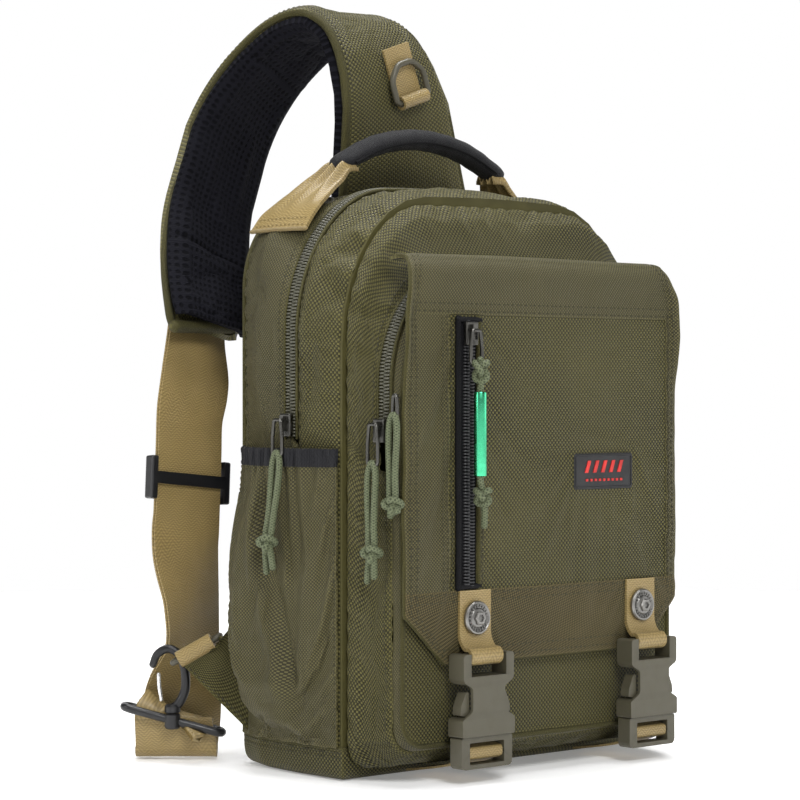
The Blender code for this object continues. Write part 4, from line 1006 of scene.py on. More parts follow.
def build_main_body():
    count = 460
    rear = Skin(gusset_points(body_arch, BACK_Y - 0.0006, MAIN_ZIP_Y - 0.0050, MAIN_ZIP_Y + 0.0050, 26,
                              count),
                BODY_MIDDLE)
    soft_swell(rear, 0.0010)
    seam_puckers(rear, 0.00045, 0.006, 0.0105, 3, end=False)
    rear.push(0.0011 * ridged(rear.points * (1, 1.4, 0.55), 26.0, 5) * rear.hump())
    relax(rear, pin_edges(rear), grow=0.024, pressure=0.06, frames=16, cap=0.0034, bending=0.3)
    hold_under_pocket(rear)
    edge_roll(rear, 0.0014, 0.004)
    shell("gusset_rear", rear, 0.0016, OLIVE_SIDE, "bag", ("rear_gusset",), turn_weave=True)
    sew("bag", THREAD, rear.across(0.90, 0.0, 1.0))
    sew("bag", THREAD, rear.across(0.10, 0.0, 1.0))

    front = Skin(gusset_points(body_arch, MAIN_ZIP_Y - 0.0050, -0.0297, -0.0297, 24, count), BODY_MIDDLE)
    soft_swell(front, 0.0016)
    seam_puckers(front, 0.0006, 0.008, 0.0125, 11, start=False)
    corner = bell(front.points[..., 2], 0.290, 0.028) * smooth(-0.004, -0.024, front.points[..., 1])
    front.push(0.0026 * corner * np.sin(2 * math.pi * (front.points[..., 2] + front.points[..., 0]) / 0.034))
    front.push(0.0014 * ridged(front.points * (1, 1.6, 0.5), 24.0, 9) * front.hump())
    relax(front, pin_edges(front), grow=0.030, pressure=0.08, frames=16, cap=0.0040, bending=0.3)
    hold_under_pocket(front)
    edge_roll(front, 0.0012, 0.0035, end=False)
    edge_roll(front, 0.0020, 0.005, start=False)
    shell("gusset_front", front, 0.0016, OLIVE, "bag", ("front_gusset",), turn_weave=True)
    sew("bag", THREAD, front.across(0.115, 0.0, 1.0))

    zip_arch = body_arch(MAIN_ZIP_Y, 700, ZIP_END_Z)
    path = arch_with_y(zip_arch, MAIN_ZIP_Y)
    out = arch_outward(path)
    zip_along("main_zip", path - out * 0.0004, out, 0.0056, "bag", "main_zip", OLIVE_TAPE, COIL)
    whole = arch_with_y(body_arch(MAIN_ZIP_Y, 400, ZIP_END_Z - 0.001), 0.0)
    for side in (-1, 1):
        edge = whole + (0, MAIN_ZIP_Y + side * 0.0053, 0)
        fold_edge("main_zip_edge_" + ("front" if side < 0 else "rear"),
                  edge + arch_outward(edge) * 0.0002, 0.0011)
    back_edge = arch_with_y(body_arch(BACK_Y, 400), BACK_Y - 0.0008)
    fold_edge("back_piping", back_edge - arch_outward(back_edge) * 0.0012, 0.0021, OLIVE_FINE)

    arch = body_arch(BACK_Y - 0.001, 260)
    base = np.stack((np.linspace(arch[-1, 0], arch[0, 0], 60), np.full(60, arch[0, 1])), axis=1)[1:-1]
    wall, reach = radial_disc(np.vstack((arch, base)), BACK_Y - 0.0004, 36, BODY_MIDDLE)
    wall.push(np.broadcast_to((0.0016 * (1 - reach ** 6))[:, None], wall.points.shape[:2])
              + 0.0006 * ridged(wall.points, 18.0, 21))
    planar_uv(shell("wall_back", wall, 0.0016, OLIVE, "bag", ("back_panel",)))
    build_back_pad()
    build_tray()


PAD_CHANNELS = (-0.028, 0.028)      # the sewn lines down the back pad


def build_back_pad():
    """The padded air mesh on the back: a bound edge and swollen channels between stitched lines."""
    (x0, y0, z0), (x1, _, z1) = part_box("back_pad")
    outline = fillet(((x0, z0, 0.02), (x1, z0, 0.02), (x1, z1, 0.03), (x0, z1, 0.03)), 10)
    outline = evenly(np.vstack((outline, outline[:1])), 221)[:-1]
    pad, reach = radial_disc(outline, y0 + 0.0012, 48, (0.0, 0.0, 0.16))
    pinned = np.zeros(pad.points.shape[:2], bool)
    pinned[-2:] = True
    channels = np.zeros(pad.points.shape[:2], bool)
    for x in PAD_CHANNELS:
        channels |= np.abs(pad.points[..., 0] - x) < 0.0022
    lift = 0.0052 * (1 - smooth(0.86, 1.0, reach))[:, None] * np.ones(len(outline))
    for x in PAD_CHANNELS:
        lift = lift - 0.0030 * bell(pad.points[..., 0], x, 0.005) * smooth(1.0, 0.80, reach)[:, None]
    pad.push(lift)
    relax(pad, pinned | channels, grow=0.010, pressure=0.35, frames=12, cap=0.0016)
    made = shell("back_mesh", pad, 0.0012, BLACK_MESH, "bag", ("back_pad",))
    planar_uv(made)
    edge = np.stack((outline[:, 0], np.full(len(outline), y0 + 0.0020), outline[:, 1]), axis=1)
    rod("back_mesh_binding", edge, 0.0019, BLACK_SLEEVE, "bag", "black_mesh", closed=True, sides=8)


def build_tray():
    """The bottom tray: a wall that turns under into the floor, with a double-stitched hem."""
    stations = np.linspace(-0.0301, BACK_Y - 0.0002, 30)
    right = np.array([(section_at(BODY_SECTIONS, y)[0], y) for y in stations])
    rim = np.vstack((right * (-1, 1), right[::-1]))
    rim = evenly(np.vstack((rim, rim[:1])), 341)[:-1]
    levels = [(HEM_Z, 0.0), (0.0165, 0.0), (0.0135, 0.0), (0.0105, 0.0), (0.0075, 0.0002), (0.0048, 0.0006),
              (0.0026, 0.0016), (0.0010, 0.0032), (0.0, 0.0058)]
    levels += [(0.0, inset) for inset in (0.012, 0.020, 0.030, 0.045)]
    middle = np.array((0.0, 0.02))
    rows = []
    for z, inset in levels:
        shrunk = middle + (rim - middle) * (1 - inset / np.array((0.1175, 0.0500)))
        rows.append(np.stack((shrunk[:, 0], shrunk[:, 1], np.full(len(rim), z)), axis=1))
    tray = Skin(rows, BODY_MIDDLE, wrap=True)
    upright = smooth(0.0, 0.004, tray.points[..., 2])
    tray.push(0.0007 * ridged(tray.points, 34.0, 31) * upright)
    tray.points[..., 2] = np.maximum(tray.points[..., 2], 0.0)
    shell("tray", tray, 0.0018, OLIVE, "bag", ("bottom_tray",))
    for row in (1.2, 2.2):
        sew("bag", THREAD, tray.across(row / (len(levels) - 1), 0.0, 0.999, count=900))
    seam = np.stack((rim[:, 0], rim[:, 1], np.full(len(rim), HEM_Z + 0.0002)), axis=1)
    fold_edge("tray_hem", seam, 0.0010, OLIVE_FINE, closed=True)


# ---------------------------------------------------------------- front compartment
def build_front_compartment():
    count = 520
    gusset = Skin(gusset_points(front_ring, -0.0306, FRONT_ZIP_Y - 0.0050, FRONT_ZIP_Y + 0.0050, 20, count),
                  FRONT_MIDDLE, wrap=True)
    level = gusset.points.copy()
    soft_swell(gusset, 0.0014)
    seam_puckers(gusset, 0.0006, 0.006, 0.0115, 41, end=False)
    shoulder = bell(gusset.points[..., 2], 0.262, 0.030)
    gusset.push(0.0018 * shoulder
                * np.sin(2 * math.pi * (gusset.points[..., 2] - np.abs(gusset.points[..., 0])) / 0.027)
                * gusset.hump())
    gusset.push(0.0016 * ridged(gusset.points * (1, 1.4, 0.6), 30.0, 43)
                * gusset.hump())
    relax(gusset, pin_edges(gusset), grow=0.028, pressure=0.07, frames=16, cap=0.0034, bending=0.3)
    # the flap folds back over the roof near its root, which has to stay as low as it was drawn
    under_flap = smooth(0.262, 0.272, level[..., 2]) * smooth(-0.037, -0.046, level[..., 1])
    gusset.points = mix(gusset.points, level - gusset.normals * 0.0008, under_flap[..., None])
    gusset.refresh()
    edge_roll(gusset, 0.0020, 0.004, end=False)
    edge_roll(gusset, 0.0012, 0.0035, start=False)
    shell("gusset_compartment", gusset, 0.0016, OLIVE, "bag", ("front_compartment_gusset",),
          turn_weave=True)
    sew("bag", THREAD, gusset.across(0.87, 0.0, 0.999, count=900))

    zip_arch = front_arch(FRONT_ZIP_Y, 600, ZIP_END_Z)
    path = arch_with_y(zip_arch, FRONT_ZIP_Y)
    out = arch_outward(path)
    zip_along("front_zip", path - out * 0.0004, out, 0.0056, "bag", "front_zip", OLIVE_TAPE, COIL)
    for side in (-1, 1):
        edge = path + (0, side * 0.0053, 0)
        fold_edge("front_zip_edge_" + ("front" if side < 0 else "rear"), edge + out * 0.0002, 0.0010)

    pocket = Skin(gusset_points(front_ring, FRONT_ZIP_Y - 0.0050, FRONT_Y + 0.0006, FRONT_Y + 0.0006, 9,
                                count),
                  FRONT_MIDDLE, wrap=True)
    pocket.push(0.0006 * ridged(pocket.points, 40.0, 47))
    edge_roll(pocket, 0.0010, 0.003)
    shell("gusset_flap_pocket", pocket, 0.0014, OLIVE_SIDE, "bag", ("flap_pocket_gusset",),
          turn_weave=True)

    ring = front_ring(FRONT_Y, 360)
    wall, reach = radial_disc(ring, FRONT_Y + 0.0012, 34, FRONT_MIDDLE, (0.0, 0.15))
    wall.push(0.0005 * ridged(wall.points, 20.0, 51) * (1 - reach ** 8)[:, None])
    planar_uv(shell("wall_front", wall, 0.0014, OLIVE, "bag", ("front_panel",)))
    edge = np.stack((ring[:, 0], np.full(len(ring), FRONT_Y + 0.0012), ring[:, 1]), axis=1)
    fold_edge("front_piping", edge, 0.0015, OLIVE_FINE, closed=True)


# ---------------------------------------------------------------- side pockets
POCKET_LEVELS = ((HEM_Z + 0.0006, 0.0006), (0.037, 0.0040), (0.060, 0.0090), (0.085, 0.0120),
                 (0.115, 0.0125), (0.145, 0.0100), (0.172, 0.0072), (0.186, 0.0062))
BAND_HEIGHT = 0.0100


def build_pocket(word, side):
    """A gathered pocket: pleats run down from its elastic mouth into a belly with a few slack folds."""
    node = "pocket_" + word
    back_y, front_y, top = high(node, 1), low(node, 1), high(node, 2)
    rows, columns = 76, 76
    z = np.linspace(POCKET_LEVELS[0][0], top, rows)
    t = np.linspace(0, 1, columns)
    y = mix(back_y, front_y, t)
    bulge = np.interp(z, [level[0] for level in POCKET_LEVELS], [level[1] for level in POCKET_LEVELS])
    bulge = np.convolve(np.pad(bulge, 6, mode="edge"), np.hanning(13) / np.hanning(13).sum(), "valid")
    reach = np.array([section_at(BODY_SECTIONS, v)[0] for v in y]) + 0.0022
    depth = reach[None] + bulge[:, None] * (np.sin(math.pi * t ** 0.75) ** 0.65)[None]
    slump = smooth(top - 0.004, top - 0.060, z) * smooth(z[0], z[0] + 0.045, z)
    depth = depth + 0.0100 * slump[:, None] * (bell(t, 0.20, 0.19) * smooth(0.0, 0.10, t))[None]
    zz, tt = np.meshgrid(z, t, indexing="ij")
    inset = np.sin(math.pi * tt) ** 0.5
    wander = 0.5 * ridged(np.stack((zz * 0, tt, zz * 4), axis=2), 5.0, 61 + side)
    pleats = np.sin(2 * math.pi * (9.5 * tt + wander)) * np.exp(-(top - zz) / 0.026)
    slack = np.sin(2 * math.pi * (3.6 * tt - 5.0 * zz + wander)) * bell(zz, 0.120, 0.045)
    crease = bell(tt, 0.66 + 1.3 * (zz - 0.09), 0.045) * smooth(0.02, 0.05, zz) * smooth(0.17, 0.13, zz)
    foot = np.sin(2 * math.pi * (6.0 * tt + wander)) * np.exp(-(zz - z[0]) / 0.016)
    drape = tt - (0.42 + 2.4 * (0.150 - zz) + 1.5 * (0.150 - zz) ** 2)
    fold = (bell(drape, 0.0, 0.050) - 0.75 * bell(drape, -0.10, 0.055)) * smooth(0.022, 0.05, zz)
    depth = depth + inset * (0.0017 * pleats + 0.0016 * slack - 0.0030 * crease + 0.0010 * foot
                             - 0.0052 * fold * smooth(0.178, 0.150, zz))
    behind_cord = (0.1295 + 0.02 * ((y - MAIN_ZIP_Y) / 0.024)[None] ** 2
                   + 0.03 * smooth(0.112, 0.085, z)[:, None])
    depth = np.clip(depth, reach[None] - 0.0002, behind_cord)
    skin = Skin(np.stack((side * depth, np.broadcast_to(y, depth.shape), zz), axis=2), (0.0, 0.02, 0.1))
    pinned = pin_edges(skin)
    relax(skin, pinned, grow=0.045, pressure=0.12, gravity=0.5, frames=20, cap=0.0055, bending=0.25)
    skin.points[..., 0] = side * np.clip(side * skin.points[..., 0], reach[None] - 0.0002, behind_cord)
    skin.refresh()
    shell(node + "_cloth", skin, 0.0012, OLIVE_SIDE if side < 0 else OLIVE, "bag", (node,))

    # the elastic band: folded over the mouth, ruffled with the pleats
    start = 1 - BAND_HEIGHT / (top - z[0])
    grid = []
    for row in np.linspace(start, 1.0, 10):
        spots, normals = skin.across(row, 0.0, 1.0, 0.0, 200)
        ruffle = 0.00025 * np.sin(2 * math.pi * np.linspace(0, 46, 200))
        grid.append(spots + normals * (0.0007 + ruffle)[:, None])
    band = Skin(grid, skin.inside)
    band.points[-1] -= band.normals[-1] * 0.0006
    shell(node + "_elastic", band, 0.0016, BLACK_ELASTIC, "bag", turn_weave=True)
    for column in (0.012, 0.988):
        sew("bag", THREAD, skin.down(column, 0.02, start))


# ---------------------------------------------------------------- turned and cut pieces
def arc(centre, one, two, radius, degrees):
    """Points round centre, from the direction one towards two, at the angles given."""
    turns = [math.radians(angle) for angle in degrees]
    return [centre + one * radius * math.cos(a) + two * radius * math.sin(a) for a in turns]


def basis(axis, near=(1.0, 0.0, 0.0)):
    """Two unit vectors square to axis and to each other, the first as near as can be to near."""
    axis = unit(np.array(axis, float))
    first = np.array(near, float)
    first = unit(first - axis * np.dot(first, axis))
    return first, np.cross(axis, first)


def turned_mesh(name, profile, origin, axis, look, steps=32, flats=0):
    """A closed solid of (radius, height) profile points turned about an axis; flats makes it a nut."""
    right, up = basis(axis)
    axis = unit(np.array(axis, float))
    points, faces = [], []
    angles = [2 * math.pi * k / steps for k in range(steps)]
    for radius, height in profile:
        for angle in angles:
            reach = radius
            if flats:
                sector = (angle % (2 * math.pi / flats)) - math.pi / flats
                reach = radius * math.cos(math.pi / flats) / math.cos(sector)
            points.append(np.array(origin) + axis * height
                          + (right * math.cos(angle) + up * math.sin(angle)) * max(reach, 1e-5))
    for i in range(len(profile) - 1):
        for j in range(steps):
            k = (j + 1) % steps
            faces.append((i * steps + j, i * steps + k, (i + 1) * steps + k, (i + 1) * steps + j))
    faces.append(tuple(range(steps - 1, -1, -1)))
    faces.append(tuple((len(profile) - 1) * steps + j for j in range(steps)))
    return mesh_from(name, points, faces, look, None, 35.0)


def turned(name, profile, origin, axis, look, body, replaces=(), steps=32, flats=0):
    return finish_piece(name, turned_mesh(name, profile, origin, axis, look, steps, flats), body,
                        replaces)


def slab_mesh(name, outline, origin, right, up, thickness, look, bevel=0.0004):
    """A flat piece cut to an outline in the plane of right and up, with a softened upper edge."""
    outline = np.asarray(outline, float)
    right, up = np.array(right, float), np.array(up, float)
    out = np.cross(right, up)
    middle = outline.mean(axis=0)
    reach = np.abs(outline - middle).max(axis=0)
    loops = [(outline, 0.0), (outline, thickness - bevel),
             (middle + (outline - middle) * (1 - bevel / reach), thickness)]
    points, faces, count = [], [], len(outline)
    for loop, height in loops:
        points += [np.array(origin) + right * x + up * z + out * height for x, z in loop]
    for i in range(2):
        for j in range(count):
            k = (j + 1) % count
            faces.append((i * count + j, i * count + k, (i + 1) * count + k, (i + 1) * count + j))
    faces.append(tuple(range(count - 1, -1, -1)))
    faces.append(tuple(2 * count + j for j in range(count)))
    return mesh_from(name, points, faces, look, None, 30.0)


def dress(node, look, bevel=0.0005, segments=2):
    """A CAD node whose shape is right: its moulded edges are softened and it gets its material."""
    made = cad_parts[node]
    made.data.materials.clear()
    made.data.materials.append(look)
    if bevel:
        soften = made.modifiers.new("softened edges", "BEVEL")
        soften.width, soften.segments, soften.limit_method = bevel, segments, "ANGLE"
        soften.angle_limit, soften.harden_normals = math.radians(35), False
        soften.use_clamp_overlap = True


# ---------------------------------------------------------------- flap
FLAP_Y = low("flap", 1)
FLAP_ROOT = (high("flap", 1), high("flap", 2) - 0.0010)
FLAP_END_Z = low("flap", 2)
FLAP_CHAMFER_Z, FLAP_BAND_Z, FLAP_YOKE_Z, FLAP_SHOULDER_Z = 0.095, 0.107, 0.261, 0.255
FLAP_HALF_WIDTH = high("flap", 0)
FLAP_TIP_HALF_WIDTH = 0.080
FLAP_ZIP_X = (low("flap_zip", 0) + high("flap_zip", 0)) / 2


def flap_half_width(z):
    t = max(0.0, (FLAP_CHAMFER_Z - z) / (FLAP_CHAMFER_Z - FLAP_END_Z))
    rounding = max(0.0, (z - FLAP_SHOULDER_Z) / (FLAP_ROOT[1] - FLAP_SHOULDER_Z))
    return mix(FLAP_HALF_WIDTH, FLAP_TIP_HALF_WIDTH, t) - 0.008 * rounding ** 2


def overlay(name, skin, rows, columns, lift, thickness, look, body="flap_body", turn=False, size=(40, 60)):
    """A second layer of cloth laid on part of a skin, its rows and columns given from 0 to 1."""
    grid = [skin.across(row, *columns, lift, size[1])[0] for row in np.linspace(*rows, size[0])]
    layer = Skin(grid, skin.inside)
    return shell(name, layer, thickness, look, body, turn_weave=turn)


def build_flap():
    root_y, root_z = FLAP_ROOT
    profile = [(root_y, root_z), (-0.0615, root_z + 0.0010), (-0.0690, root_z - 0.0010),
               (-0.0738, root_z - 0.0065), (FLAP_Y, root_z - 0.0145)]
    profile += [(FLAP_Y, z) for z in (0.258, 0.200, 0.150, 0.107, FLAP_CHAMFER_Z, 0.080, FLAP_END_Z)]
    profile = evenly(curve_through(profile, 10), 132)
    t = np.linspace(-1, 1, 118)
    widths = np.array([flap_half_width(z) for _, z in profile])
    grid = np.stack((widths[:, None] * t[None], np.broadcast_to(profile[:, :1], (132, 118)),
                     np.broadcast_to(profile[:, 1:], (132, 118))), axis=2)
    skin = Skin(grid, (0.0, 0.05, 0.10))
    z, x = skin.points[..., 2], skin.points[..., 0]
    calm = smooth(FLAP_END_Z, 0.12, z) * smooth(1.0, 0.9, np.abs(t))[None]
    skin.push(calm * (0.0007 + 0.0009 * ridged(skin.points * (1, 1, 0.6), 11.0, 71)))
    near = np.abs(np.abs(x) - 0.102)
    skin.push(0.0006 * np.sin(2 * math.pi * z / 0.019) * np.exp(-near / 0.006) * smooth(0.10, 0.13, z))
    pinned = np.zeros(z.shape, bool)
    pinned[:10] = True
    for node in ("tab_left", "tab_right"):
        pinned |= (x > low(node, 0) - 0.002) & (x < high(node, 0) + 0.002) & (z < high(node, 2))
    pinned |= (np.abs(x - FLAP_ZIP_X) < 0.009) & (z < 0.262)
    pinned |= (x > low("patch", 0) - 0.002) & (x < high("patch", 0) + 0.002) & (np.abs(z - 0.1715) < 0.013)
    relax(skin, pinned, grow=0.003, pressure=0.02, gravity=0.3, frames=12, cap=0.0007, bending=6.0)
    skin.points[..., 1] = np.minimum(skin.points[..., 1], np.where(z < 0.275, FLAP_Y + 0.0006, 1.0))
    corner = smooth(0.215, 0.250, z) * smooth(0.292, 0.272, z)
    edge = smooth(0.92, 1.0, np.abs(t))[None] ** 2
    skin.refresh()
    skin.push(edge * (0.0042 * corner - 0.0006))
    shell("flap_cloth", skin, 0.0020, OLIVE, "flap_body", ("flap",), back=BLACK_LINING)

    def row_of(height):
        heights = skin.points[:, 59, 2]
        return float(np.interp(-height, -heights[14:], np.linspace(0, 1, 132)[14:]))

    def column_of(where):
        return (where / FLAP_HALF_WIDTH + 1) / 2

    yoke, band = row_of(FLAP_YOKE_Z), row_of(FLAP_BAND_Z)
    left_band, right_band = column_of(-0.0775), column_of(0.1010)
    overlay("flap_yoke", skin, (0.05, yoke), (0.0, 1.0), 0.0006, 0.0006, OLIVE_SIDE, turn=True,
            size=(34, 118))
    overlay("flap_band", skin, (band, 1.0), (0.0, 1.0), 0.0006, 0.0006, OLIVE_TWILL, size=(36, 118))
    overlay("flap_side_left", skin, (yoke - 0.01, band + 0.01), (0.0, left_band), 0.0004, 0.0004, OLIVE_SIDE,
            turn=True, size=(100, 18))
    overlay("flap_side_right", skin, (yoke - 0.01, band + 0.01), (right_band, 1.0), 0.0004, 0.0004,
            OLIVE_SIDE, turn=True, size=(100, 8))

    for height in (FLAP_YOKE_Z + 0.0018, FLAP_YOKE_Z + 0.0062):
        sew("flap_body", THREAD, skin.across(row_of(height), 0.01, 0.99, 0.0006))
    for height in (FLAP_BAND_Z - 0.0018, FLAP_BAND_Z - 0.0060):
        sew("flap_body", THREAD, skin.across(row_of(height), 0.01, 0.99, 0.0006))
    for column in (0.016, 0.034, 1 - 0.016, 1 - 0.034):
        sew("flap_body", THREAD, skin.down(column, 0.06, 0.985, 0.0006))
    for column in (left_band - 0.008, left_band - 0.024, right_band + 0.010):
        sew("flap_body", THREAD, skin.down(column, yoke, band, 0.0005))
    for row in (0.988, 0.968):
        sew("flap_body", THREAD, skin.across(row, 0.01, 0.99, 0.0006))
    rim = np.vstack((skin.down(0.0, 0.03, 1.0)[0], skin.across(1.0, 0.0, 1.0)[0][1:],
                     skin.down(1.0, 0.03, 1.0)[0][::-1]))
    fold_edge("flap_edge", evenly(rim, 500) + (0, 0.0008, 0), 0.0011, OLIVE_FINE, "flap_body")
    build_flap_zip(skin, row_of, column_of)
    build_patch()


def build_flap_zip(skin, row_of, column_of):
    top, bottom = high("flap_zip", 2), low("flap_zip", 2)
    path, normals = skin.down(column_of(FLAP_ZIP_X), row_of(top), row_of(bottom), 0.0012, 260)
    zip_along("flap_zip", path, normals, 0.0062, "flap_body", "flap_zip", BLACK_TAPE, BLACK_COIL, 0.0018,
              0.0014)
    for word, side in SIDES:
        welt, _ = skin.down(column_of(FLAP_ZIP_X + side * 0.0078), row_of(top + 0.001),
                            row_of(bottom - 0.001),
                              0.0012, 160)
        rod("flap_zip_welt_" + word, welt, 0.0017, BLACK_TAPE if side < 0 else OLIVE_FINE, "flap_body",
            "olive_fabric", sides=8)
        line = skin.down(column_of(FLAP_ZIP_X + side * 0.0120), row_of(top), row_of(bottom), 0.0004)
        sew("flap_body", THREAD, line)
    for height in (top, bottom):
        cap, _ = skin.across(row_of(height), column_of(FLAP_ZIP_X - 0.0085),
                             column_of(FLAP_ZIP_X + 0.0085), 0.0016, 24)
        rod("flap_zip_end_%s" % ("top" if height == top else "low"), cap, 0.0016, BLACK_TAPE, "flap_body",
            "black_zip", sides=8)


def build_patch():
    """The rubber patch: a raised rim round a plain sign of slanted bars over a line of small blocks."""
    (x0, y0, z0), (x1, y1, z1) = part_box("patch")
    right, up, origin = (1, 0, 0), (0, 0, 1), ((x0 + x1) / 2, y1, (z0 + z1) / 2)
    wide, tall = (x1 - x0) / 2, (z1 - z0) / 2
    corners = [(wide * a, tall * b, 0.0018) for a, b in ((-1, -1), (1, -1), (1, 1), (-1, 1))]
    mesh = slab_mesh("patch_base", fillet(corners), origin, right, up, y1 - y0 - 0.0004, RUBBER)
    finish_piece("patch_base", mesh, "flap_body", ("patch",))
    rim = fillet([((wide - 0.0012) * a, (tall - 0.0012) * b, 0.0014)
                  for a, b in ((-1, -1), (1, -1), (1, 1), (-1, 1))])
    path = np.stack((rim[:, 0] + origin[0], np.full(len(rim), y0 + 0.0004), rim[:, 1] + origin[2]), axis=1)
    rod("patch_rim", path, 0.0005, RUBBER, "flap_body", "black_rubber", closed=True, sides=6)
    shapes = []
    for k in range(5):
        x = (k - 2) * 0.0068
        shapes.append(((x - 0.0026, -0.0008), (x, -0.0008), (x + 0.0026, 0.0062), (x, 0.0062)))
    for k in range(9):
        x = (k - 4) * 0.0036
        shapes.append(((x - 0.0009, -0.0058), (x + 0.0009, -0.0058), (x + 0.0009, -0.0044),
                       (x - 0.0009, -0.0044)))
    for k, shape in enumerate(shapes):
        mesh = slab_mesh("patch_mark_%d" % k, np.array(shape), (origin[0], y0 + 0.0005, origin[2]), right,
                         up, 0.0006, RED, 0.0001)
        finish_piece("patch_mark_%d" % k, mesh, "flap_body")


# ---------------------------------------------------------------- buckles, tabs and snaps
BUCKLE_BACK_Y = high("female_left", 1)
BUCKLE_Z = low("female_left", 2)
SIDES = (("left", -1), ("right", 1))


def strip_skin(rows, half_widths, columns=8, crown=0.0, lift=0.0):
    """The outer face of a flat strip that runs through rows of (centre, side)."""
    centres = np.array([r[0] for r in rows], float)
    sides = np.array([r[1] for r in rows], float)
    tangents = unit(np.gradient(centres, axis=0))
    sides = unit(sides - tangents * np.sum(sides * tangents, axis=1, keepdims=True))
    normals = np.cross(sides, tangents)
    across = np.linspace(1, -1, columns + 1)
    widths = np.broadcast_to(np.asarray(half_widths, float), (len(rows),))
    rise = lift + crown * (1 - across ** 2)
    points = (centres[:, None] + sides[:, None] * (widths[:, None] * across)[..., None]
              + normals[:, None] * rise[None, :, None])
    skin = Skin(points, points.mean(axis=(0, 1)))
    skin.normals = np.broadcast_to(normals[:, None], points.shape).copy()
    return skin


def box_stitch(body, skin, rows, columns):
    """A sewn square with a cross in it."""
    (a, b), (c, d) = rows, columns
    ease = np.linspace(0, 1, 60)
    for r0, c0, r1, c1 in ((a, c, a, d), (b, c, b, d), (a, c, b, c), (a, d, b, d), (a, c, b, d),
                           (a, d, b, c)):
        sew(body, TAN_THREAD, skin.at(mix(r0, r1, ease), mix(c0, c1, ease)), pitch=BOX_PITCH)


def build_tab(word):
    """Webbing sewn down on the flap, looped through the buckle's bar, with a snap over its stitching."""
    node = "tab_" + word
    (x0, _, _), (x1, _, z1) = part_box(node)
    x, half = (x0 + x1) / 2, (x1 - x0) / 2
    bar = np.array((0.0, BUCKLE_BACK_Y - 0.0060, BUCKLE_Z + 0.04425))
    face = FLAP_Y - 0.0003 - 0.0012
    points = [(0, face, z1), (0, face, 0.100), (0, face, 0.092), (0, face, 0.0835),
              (0, face - 0.0014, 0.0785)]
    points += arc(bar, -ALONG_Y, UP, 0.0042, range(110, -131, -40))
    path = curve_through(points, 6) + (x, 0, 0)
    skin = strip_skin([(p, (1, 0, 0)) for p in path], half, 12, 0.0002, 0.0011)
    shell("webbing_" + node, skin, 0.0021, TAN, "flap_body", (node,))
    share = run_length(path) / run_length(path)[-1]
    box_stitch("flap_body", skin, (0.03, float(share[18])), (0.10, 0.90))
    for column in (0.05, 0.95):
        sew("flap_body", TAN_THREAD, skin.down(column, 0.02, 0.97), 0.0001)


def build_snap(word):
    """A pewter medallion: dished rim, ring of plain raised bars, hexagon nut in its middle."""
    node = "snap_" + word
    (x0, _, z0), (x1, y1, z1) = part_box(node)
    centre, radius = np.array(((x0 + x1) / 2, y1, (z0 + z1) / 2)), (x1 - x0) / 2
    profile = ((radius, 0.0), (radius, 0.0012), (radius - 0.0006, 0.0020), (radius - 0.0014, 0.0022),
               (radius - 0.0020, 0.0017), (0.0058, 0.0015), (0.0052, 0.0022), (0.0044, 0.0025))
    turned("medallion_" + word, profile, centre, -ALONG_Y, PEWTER, "flap_body", (node,), 48)
    nut = ((0.0041, 0.0022), (0.0041, 0.0036), (0.0036, 0.0042), (0.0022, 0.0042), (0.0018, 0.0034))
    turned("nut_" + word, nut, centre, -ALONG_Y, PEWTER, "flap_body", (), 48, 6)
    points, faces = [], []
    for k in range(22):
        angle = 2 * math.pi * k / 22
        out, along = (np.array((math.cos(angle), 0, math.sin(angle))),
                      np.array((-math.sin(angle), 0, math.cos(angle))))
        first, tall = len(points), (0.0007 if k % 3 else 0.0011)
        for depth in (0.0014, 0.0021):
            for a, b in ((-tall, -0.00035), (tall, -0.00035), (tall, 0.00035), (-tall, 0.00035)):
                points.append(centre + out * (0.0068 + a) + along * b + np.array((0, -depth, 0)))
        faces += [tuple(first + i for i in q)
                  for q in ((0, 1, 2, 3), (7, 6, 5, 4), (0, 4, 5, 1), (1, 5, 6, 2),
                                                        (2, 6, 7, 3), (3, 7, 4, 0))]
    finish_piece("medallion_bars_" + word,
                 mesh_from("medallion_bars_" + word, points, faces, PEWTER, None, 30.0),
                 "flap_body")


def build_bottom_strap(word):
    node = "strap_" + word
    (x0, _, _), (x1, _, _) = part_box(node)
    mid_y, bar = BUCKLE_BACK_Y - 0.0058, BUCKLE_Z - 0.0092
    points = ((-0.0335, 0.0030), (-0.0480, 0.0052), (-0.0640, 0.0082), (-0.0740, 0.0112), (-0.0785, 0.0128),
              (mid_y, bar - 0.0036), (mid_y - 0.0030, bar - 0.0022), (mid_y - 0.0034, bar),
              (mid_y - 0.0030, bar + 0.0022), (mid_y, bar + 0.0030), (-0.0790, bar + 0.0040),
              (-0.0762, bar + 0.0052), (-0.0755, bar + 0.0072), (-0.0753, bar + 0.0125))
    path = curve_through([((x0 + x1) / 2, y, z) for y, z in points], 4)
    skin = strip_skin([(p, (1, 0, 0)) for p in path], (x1 - x0) / 2, 10, 0.0, 0.0006)
    shell("webbing_" + node, skin, 0.0012, TAN, "bag", (node,))


def build_buckles():
    for word, _ in SIDES:
        build_tab(word)
        build_snap(word)
        build_bottom_strap(word)
        dress("female_" + word, GREY_PLASTIC, 0.0007, 3)
        dress("male_" + word, GREY_PLASTIC, 0.0005)
        for arm in ("outer", "inner"):
            dress("arm_%s_%s" % (word, arm), GREY_PLASTIC, 0.0004)


# ---------------------------------------------------------------- handle
def roof_height(x, y):
    half_width, roof, across, up = section_at(BODY_SECTIONS, y)
    over = max(0.0, (abs(x) - (half_width - across)) / across)
    return roof - up + up * math.sqrt(max(0.0, 1 - over * over)) + BODY_CROWN * (1 - (x / half_width) ** 2)


